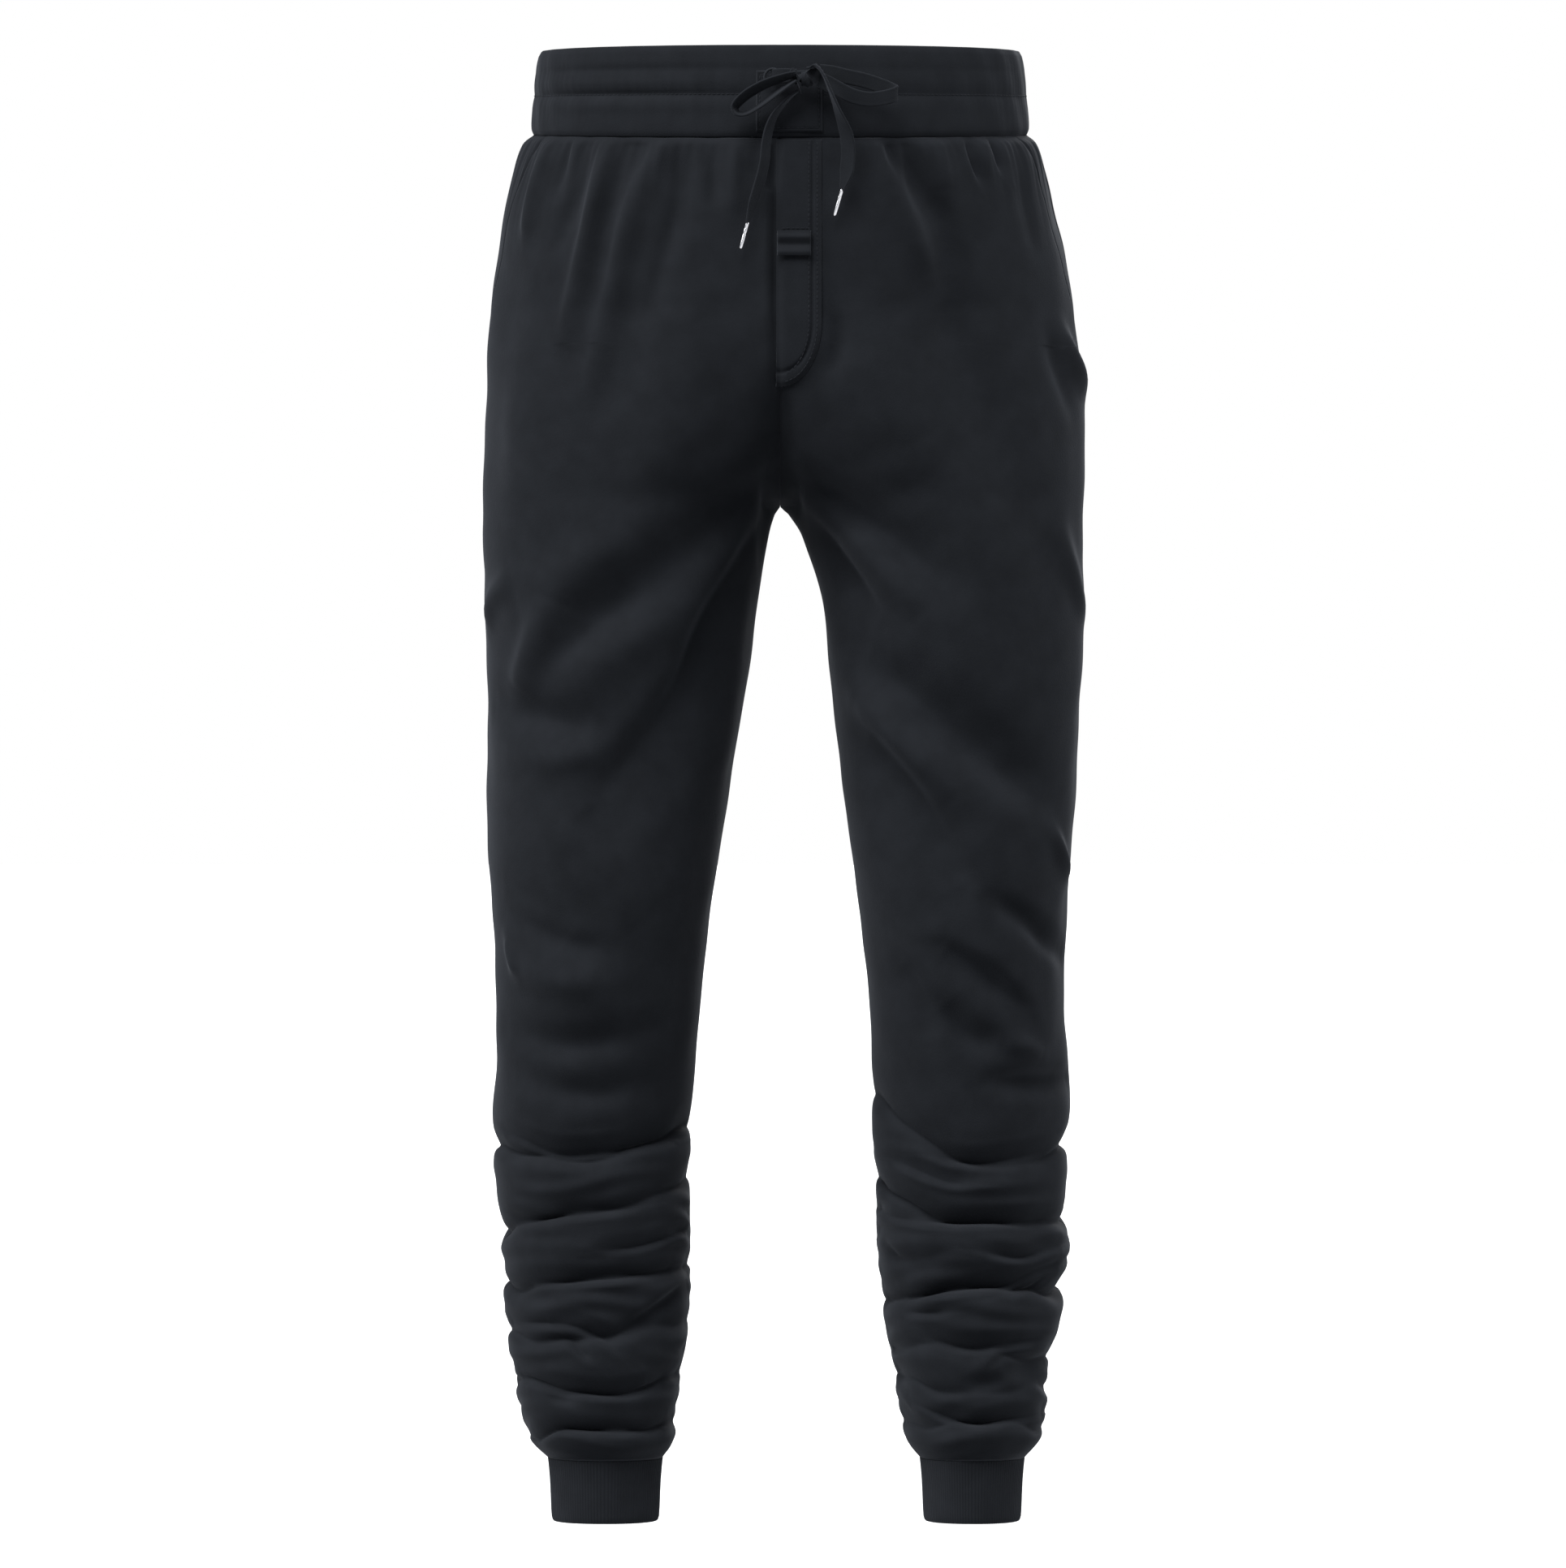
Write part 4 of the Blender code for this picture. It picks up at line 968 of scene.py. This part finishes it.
def band_relief(angle, share):
    """Channel groove and the gathers of the elastic, in metres."""
    run = angle * 150
    ahead = np.cos(angle) > 0
    fade = np.where(ahead, 0.62 - 0.38 * np.tanh((np.sin(angle) + 0.35) * 4), 0.8)
    fade = fade * (1 - 0.85 * np.abs(np.sin(angle)) ** 8)
    relief = -0.0024 * bell(share - CHANNEL, 0.045) - 0.0012 * bell(share - 0.74, 0.05)
    relief += 0.0011 * (bell(share - 0.60, 0.06) + bell(share - 0.34, 0.07))
    puff = 0.00012 * np.sin(run * 0.9 + np.sin(run * 0.13) * 2) * math.sin(math.pi * share)
    return relief * fade + puff + 0.0003 * np.sin(run * 0.21 + 5 * share)


def make_waistband():
    count = 480
    angle = np.linspace(0, 2 * np.pi, count, endpoint=False)
    spans = ((0, 0.40, 22), (0.415, 0.515, 16), (0.53, 1.0, 30))
    outside = np.concatenate([np.linspace(*span) for span in spans])
    rings = [band_point(angle, s, band_out(s) + band_relief(angle, s)) for s in outside]
    for s in np.linspace(0.985, 0.0, 24):
        rings.append(band_point(angle, s, band_out(s) - BAND_WALL - 0.0002))
    obj = ring_object("waistband_cloth", rings, FLEECE)
    declare(obj, "waistband")


def make_cuffs():
    base = SECTIONS[-1]
    profile = [(0.0, 0.0), (0.04, -0.2), (0.15, -0.7), (0.35, -1.4), (0.6, -1.9), (0.8, -2.2), (0.93, -2.6)]
    profile += [(0.98, -3.2), (1.0, -3.9), (0.98, -4.6), (0.93, -5.0), (0.6, -4.7), (0.35, -4.2), (0.0, -2.8)]
    for name, side in SIDES:
        outer = base.out_left if side > 0 else base.out_right
        inner = base.in_left if side > 0 else base.in_right
        count = 500
        angle = np.linspace(0, 2 * np.pi, count, endpoint=False)
        rings = []
        for key in np.linspace(0, len(profile) - 1, 40):
            share, out = (np.interp(key, range(len(profile)), column) for column in zip(*profile))
            out = out * 0.001
            rib = 0.00016 * np.sin(angle * 120)
            half = (outer - inner) / 2 + out + rib
            depth = (base.back - base.front) / 2 + out + rib
            x = (outer + inner) / 2 + half * power_trig(np.sin(angle))
            y = (base.front + base.back) / 2 - depth * power_trig(np.cos(angle))
            z = np.full(count, CUFF_TOP + (CUFF_BOTTOM - CUFF_TOP) * share)
            rings.append(np.stack([side * x, y, z], axis=-1))
        obj = ring_object("cuff_rib_" + name, rings, RIB)
        declare(obj, "cuff_" + name, slot="rib")


def front_surface(x, z, out):
    """The point of the front body at a given x and level, moved out along -Y."""
    side = 1 if x >= 0 else -1
    middle, half, middle_y, depth = leg_section(side, z)
    part = min(abs(abs(x) - middle) / half, 1.0)
    y = middle_y - depth * (1 - part**ROUNDNESS) ** (1 / ROUNDNESS) - SEAM_GAP / 2 - out
    fade = max(0.0, 1 - (PANEL_TOP - z) / TILT_FADE)
    return (x, y, z + BAND_BOTTOM_TILT * fade * y)


def placket_right_edge(z):
    if z > PLACKET_CURVE:
        return PLACKET_RIGHT
    share = min((PLACKET_CURVE - z) / J_HEIGHT, 1.0)
    return J_CENTRE + J_WIDTH * math.sqrt(max(1 - share**2, 0.0))


def groove(distance, width, depth):
    return -depth * bell(distance, width)


def make_laid(name, node, wall, downs, parts, point):
    """A small piece laid on the front: point(down, part) gives its outer points."""
    grid = np.array([[point(down, part) for part in parts] for down in downs])
    obj = sheet_object(name, grid, FLEECE, wall=wall, outward=(0, -1, 0))
    declare(obj, node)


def placket_point(z, part):
    right = placket_right_edge(z)
    x = PLACKET_LEFT + (right - PLACKET_LEFT) * part
    edge = right - x
    if z < PLACKET_CURVE:
        edge = J_WIDTH * (1 - math.hypot((x - J_CENTRE) / J_WIDTH, (PLACKET_CURVE - z) / J_HEIGHT))
    out = 0.0024 + groove(edge - 0.0006, 0.0009, 0.0009) + groove(edge - 0.0062, 0.0010, 0.0013)
    out += groove(x - PLACKET_LEFT, 0.0040, 0.0022) - 0.0012 * math.exp(-max(edge, 0) / 0.0005)
    return front_surface(x, z, out)


def tab_point(share, part):
    rise = 0.0048 + 0.0011 * (bell(share - 0.24, 0.13) - bell(share - 0.55, 0.13))
    rise += 0.0009 * bell(share - 0.86, 0.12)
    x = PLACKET_LEFT + 0.0005 + (TAB_RIGHT - PLACKET_LEFT - 0.0005) * part
    edge = min(part, 1 - part) * 0.021
    z = TAB_TOP + (TAB_BOTTOM - TAB_TOP) * share
    return front_surface(x, z, rise - 0.0012 * math.exp(-edge / 0.0005))


def patch_point(part, share, out):
    """The point of the patch at shares of its width and of the waistband's height."""
    x = PATCH_LEFT + (PATCH_RIGHT - PATCH_LEFT) * part
    angle = math.asin(abs(x / SECTIONS[0].out_left) ** (ROUNDNESS / 2)) * (1 if x > 0 else -1)
    return band_point(np.array(angle), share, band_out(share) + out)


def patch_cloth_point(share, part):
    edge = min(part, 1 - part) * (PATCH_RIGHT - PATCH_LEFT)
    edge = min(edge, (PATCH_TOP_SHARE - share) * 0.06, (share - PATCH_BOTTOM_SHARE) * 0.06)
    out = 0.0018 + groove(edge - 0.0022, 0.0006, 0.0006) - 0.0008 * math.exp(-edge / 0.0004)
    return patch_point(part, share, out)


def make_laid_pieces():
    straight = np.linspace(PLACKET_TOP, PLACKET_CURVE, 120, endpoint=False)
    curve = PLACKET_CURVE + (PLACKET_BOTTOM - PLACKET_CURVE) * np.sin(np.linspace(0, np.pi / 2, 50))
    levels = np.concatenate([straight, curve])
    forty, sixty = np.linspace(0, 1, 40), np.linspace(0, 1, 60)
    heights = np.linspace(PATCH_TOP_SHARE, PATCH_BOTTOM_SHARE, 50)
    make_laid("placket_cloth", "fly_placket", 0.0016, levels, sixty, placket_point)
    make_laid("tab_cloth", "fly_tab", 0.0014, forty, forty, tab_point)
    make_laid("patch_cloth", "eyelet_patch", 0.0012, heights, sixty, patch_cloth_point)


make_panels()
make_waistband()
make_cuffs()
make_laid_pieces()

# ---------------------------------------------------------------- stitches and eyelets
def along_line(line, at):
    """The point of a line at a distance from its start."""
    steps = np.linalg.norm(np.diff(line, axis=0), axis=1)
    lengths = np.concatenate([[0], np.cumsum(steps)])
    return np.array([np.interp(at, lengths, line[:, k]) for k in range(3)])


def stitch_row(line):
    """Points and faces of a row of short stitches laid along a line of points."""
    line = np.array(line)
    total = np.linalg.norm(np.diff(line, axis=0), axis=1).sum()
    turns = np.linspace(0, 2 * np.pi, STITCH_SIDES, endpoint=False)
    verts, faces = [], []
    for i in range(int(total / STITCH_PITCH)):
        start = along_line(line, (i + 0.14) * STITCH_PITCH)
        end = along_line(line, (i + 0.86) * STITCH_PITCH)
        run = (end - start) / np.linalg.norm(end - start)
        wide = np.cross(run, (0.0, 0.0, 1.0) if abs(run[2]) < 0.9 else (1.0, 0.0, 0.0))
        wide /= np.linalg.norm(wide)
        other = np.cross(run, wide)
        base = len(verts)
        for share, size in ((0.0, 0.35), (0.2, 0.9), (0.8, 0.9), (1.0, 0.35)):
            centre = start + (end - start) * share
            for turn in turns:
                spoke = wide * math.cos(turn) + other * math.sin(turn)
                verts.append(centre + spoke * STITCH_RADIUS * size)
        faces.extend(tube_faces(4, STITCH_SIDES, base))
    return verts, faces


def eyelet(centre):
    """A worked eyelet: a ring of thread round the place where the tape comes out."""
    verts = []
    for i in range(EYELET_TURNS):
        turn = 2 * math.pi * i / EYELET_TURNS
        spoke = np.array((math.cos(turn), 0.0, math.sin(turn)))
        tube = EYELET_THREAD * (1 + 0.12 * math.cos(20 * turn))
        for k in range(EYELET_SIDES):
            lean = 2 * math.pi * k / EYELET_SIDES
            ring = spoke * (EYELET_RADIUS + tube * math.cos(lean))
            verts.append(np.array(centre) + ring + np.array((0, tube * math.sin(lean), 0)))
    return verts, grid_faces(EYELET_TURNS, EYELET_SIDES, wrap=True, closed=True).tolist()


def make_thread(name, node, parts):
    verts, faces = [], []
    for more, more_faces in parts:
        start = len(verts)
        verts.extend(more)
        faces.extend([[k + start for k in face] for face in more_faces])
    obj = mesh_object(name, verts, faces, THREAD)
    fix_normals(obj)
    belong(obj, "fleece", node)


def placket_line(inset):
    """A line that follows the placket's J edge, inset from it."""
    levels = np.linspace(PLACKET_TOP - 0.002, PLACKET_CURVE, 60).tolist()
    line = [front_surface(PLACKET_RIGHT - inset, z, 0.0026) for z in levels]
    for turn in np.linspace(0.03, math.pi / 2 - 0.05, 40):
        x = J_CENTRE + (J_WIDTH - inset) * math.cos(turn)
        z = PLACKET_CURVE - (J_HEIGHT - inset) * math.sin(turn)
        line.append(front_surface(x, z, 0.0026))
    return line


def make_stitches():
    rows = [stitch_row(placket_line(inset)) for inset in (0.0030, 0.0085)]
    make_thread("fly_stitches", "fly_placket", rows)
    level = TAB_TOP + 0.0016
    row = [front_surface(x, level, 0.0027) for x in np.linspace(0.0005, 0.0200, 20)]
    foot = [front_surface(x, TAB_BOTTOM + 0.0014, 0.0052) for x in np.linspace(0.0010, 0.0190, 20)]
    make_thread("tab_stitches", "fly_tab", [stitch_row(row), stitch_row(foot)])
    low, high = PATCH_BOTTOM_SHARE + 0.045, PATCH_TOP_SHARE - 0.045
    corners = ((0.055, low), (0.055, high), (0.945, high), (0.945, low), (0.055, low))
    sides = []
    for a, b in zip(corners, corners[1:]):
        steps = zip(np.linspace(a[0], b[0], 24), np.linspace(a[1], b[1], 24))
        sides.append(stitch_row([patch_point(part, share, 0.0017) for part, share in steps]))
    for stop in (LEAD_LEFT[0], LEAD_RIGHT[0]):
        sides.append(eyelet((stop.x, stop.y - 0.0012, stop.z + BOW_LEVEL)))
    make_thread("patch_stitches", "eyelet_patch", sides)
    angle = np.linspace(0, 2 * np.pi, 481)
    ring = band_point(angle, CHANNEL, band_out(CHANNEL) + band_relief(angle, CHANNEL) + 0.0002)
    make_thread("channel_stitches", "waistband", [stitch_row(ring)])


make_stitches()
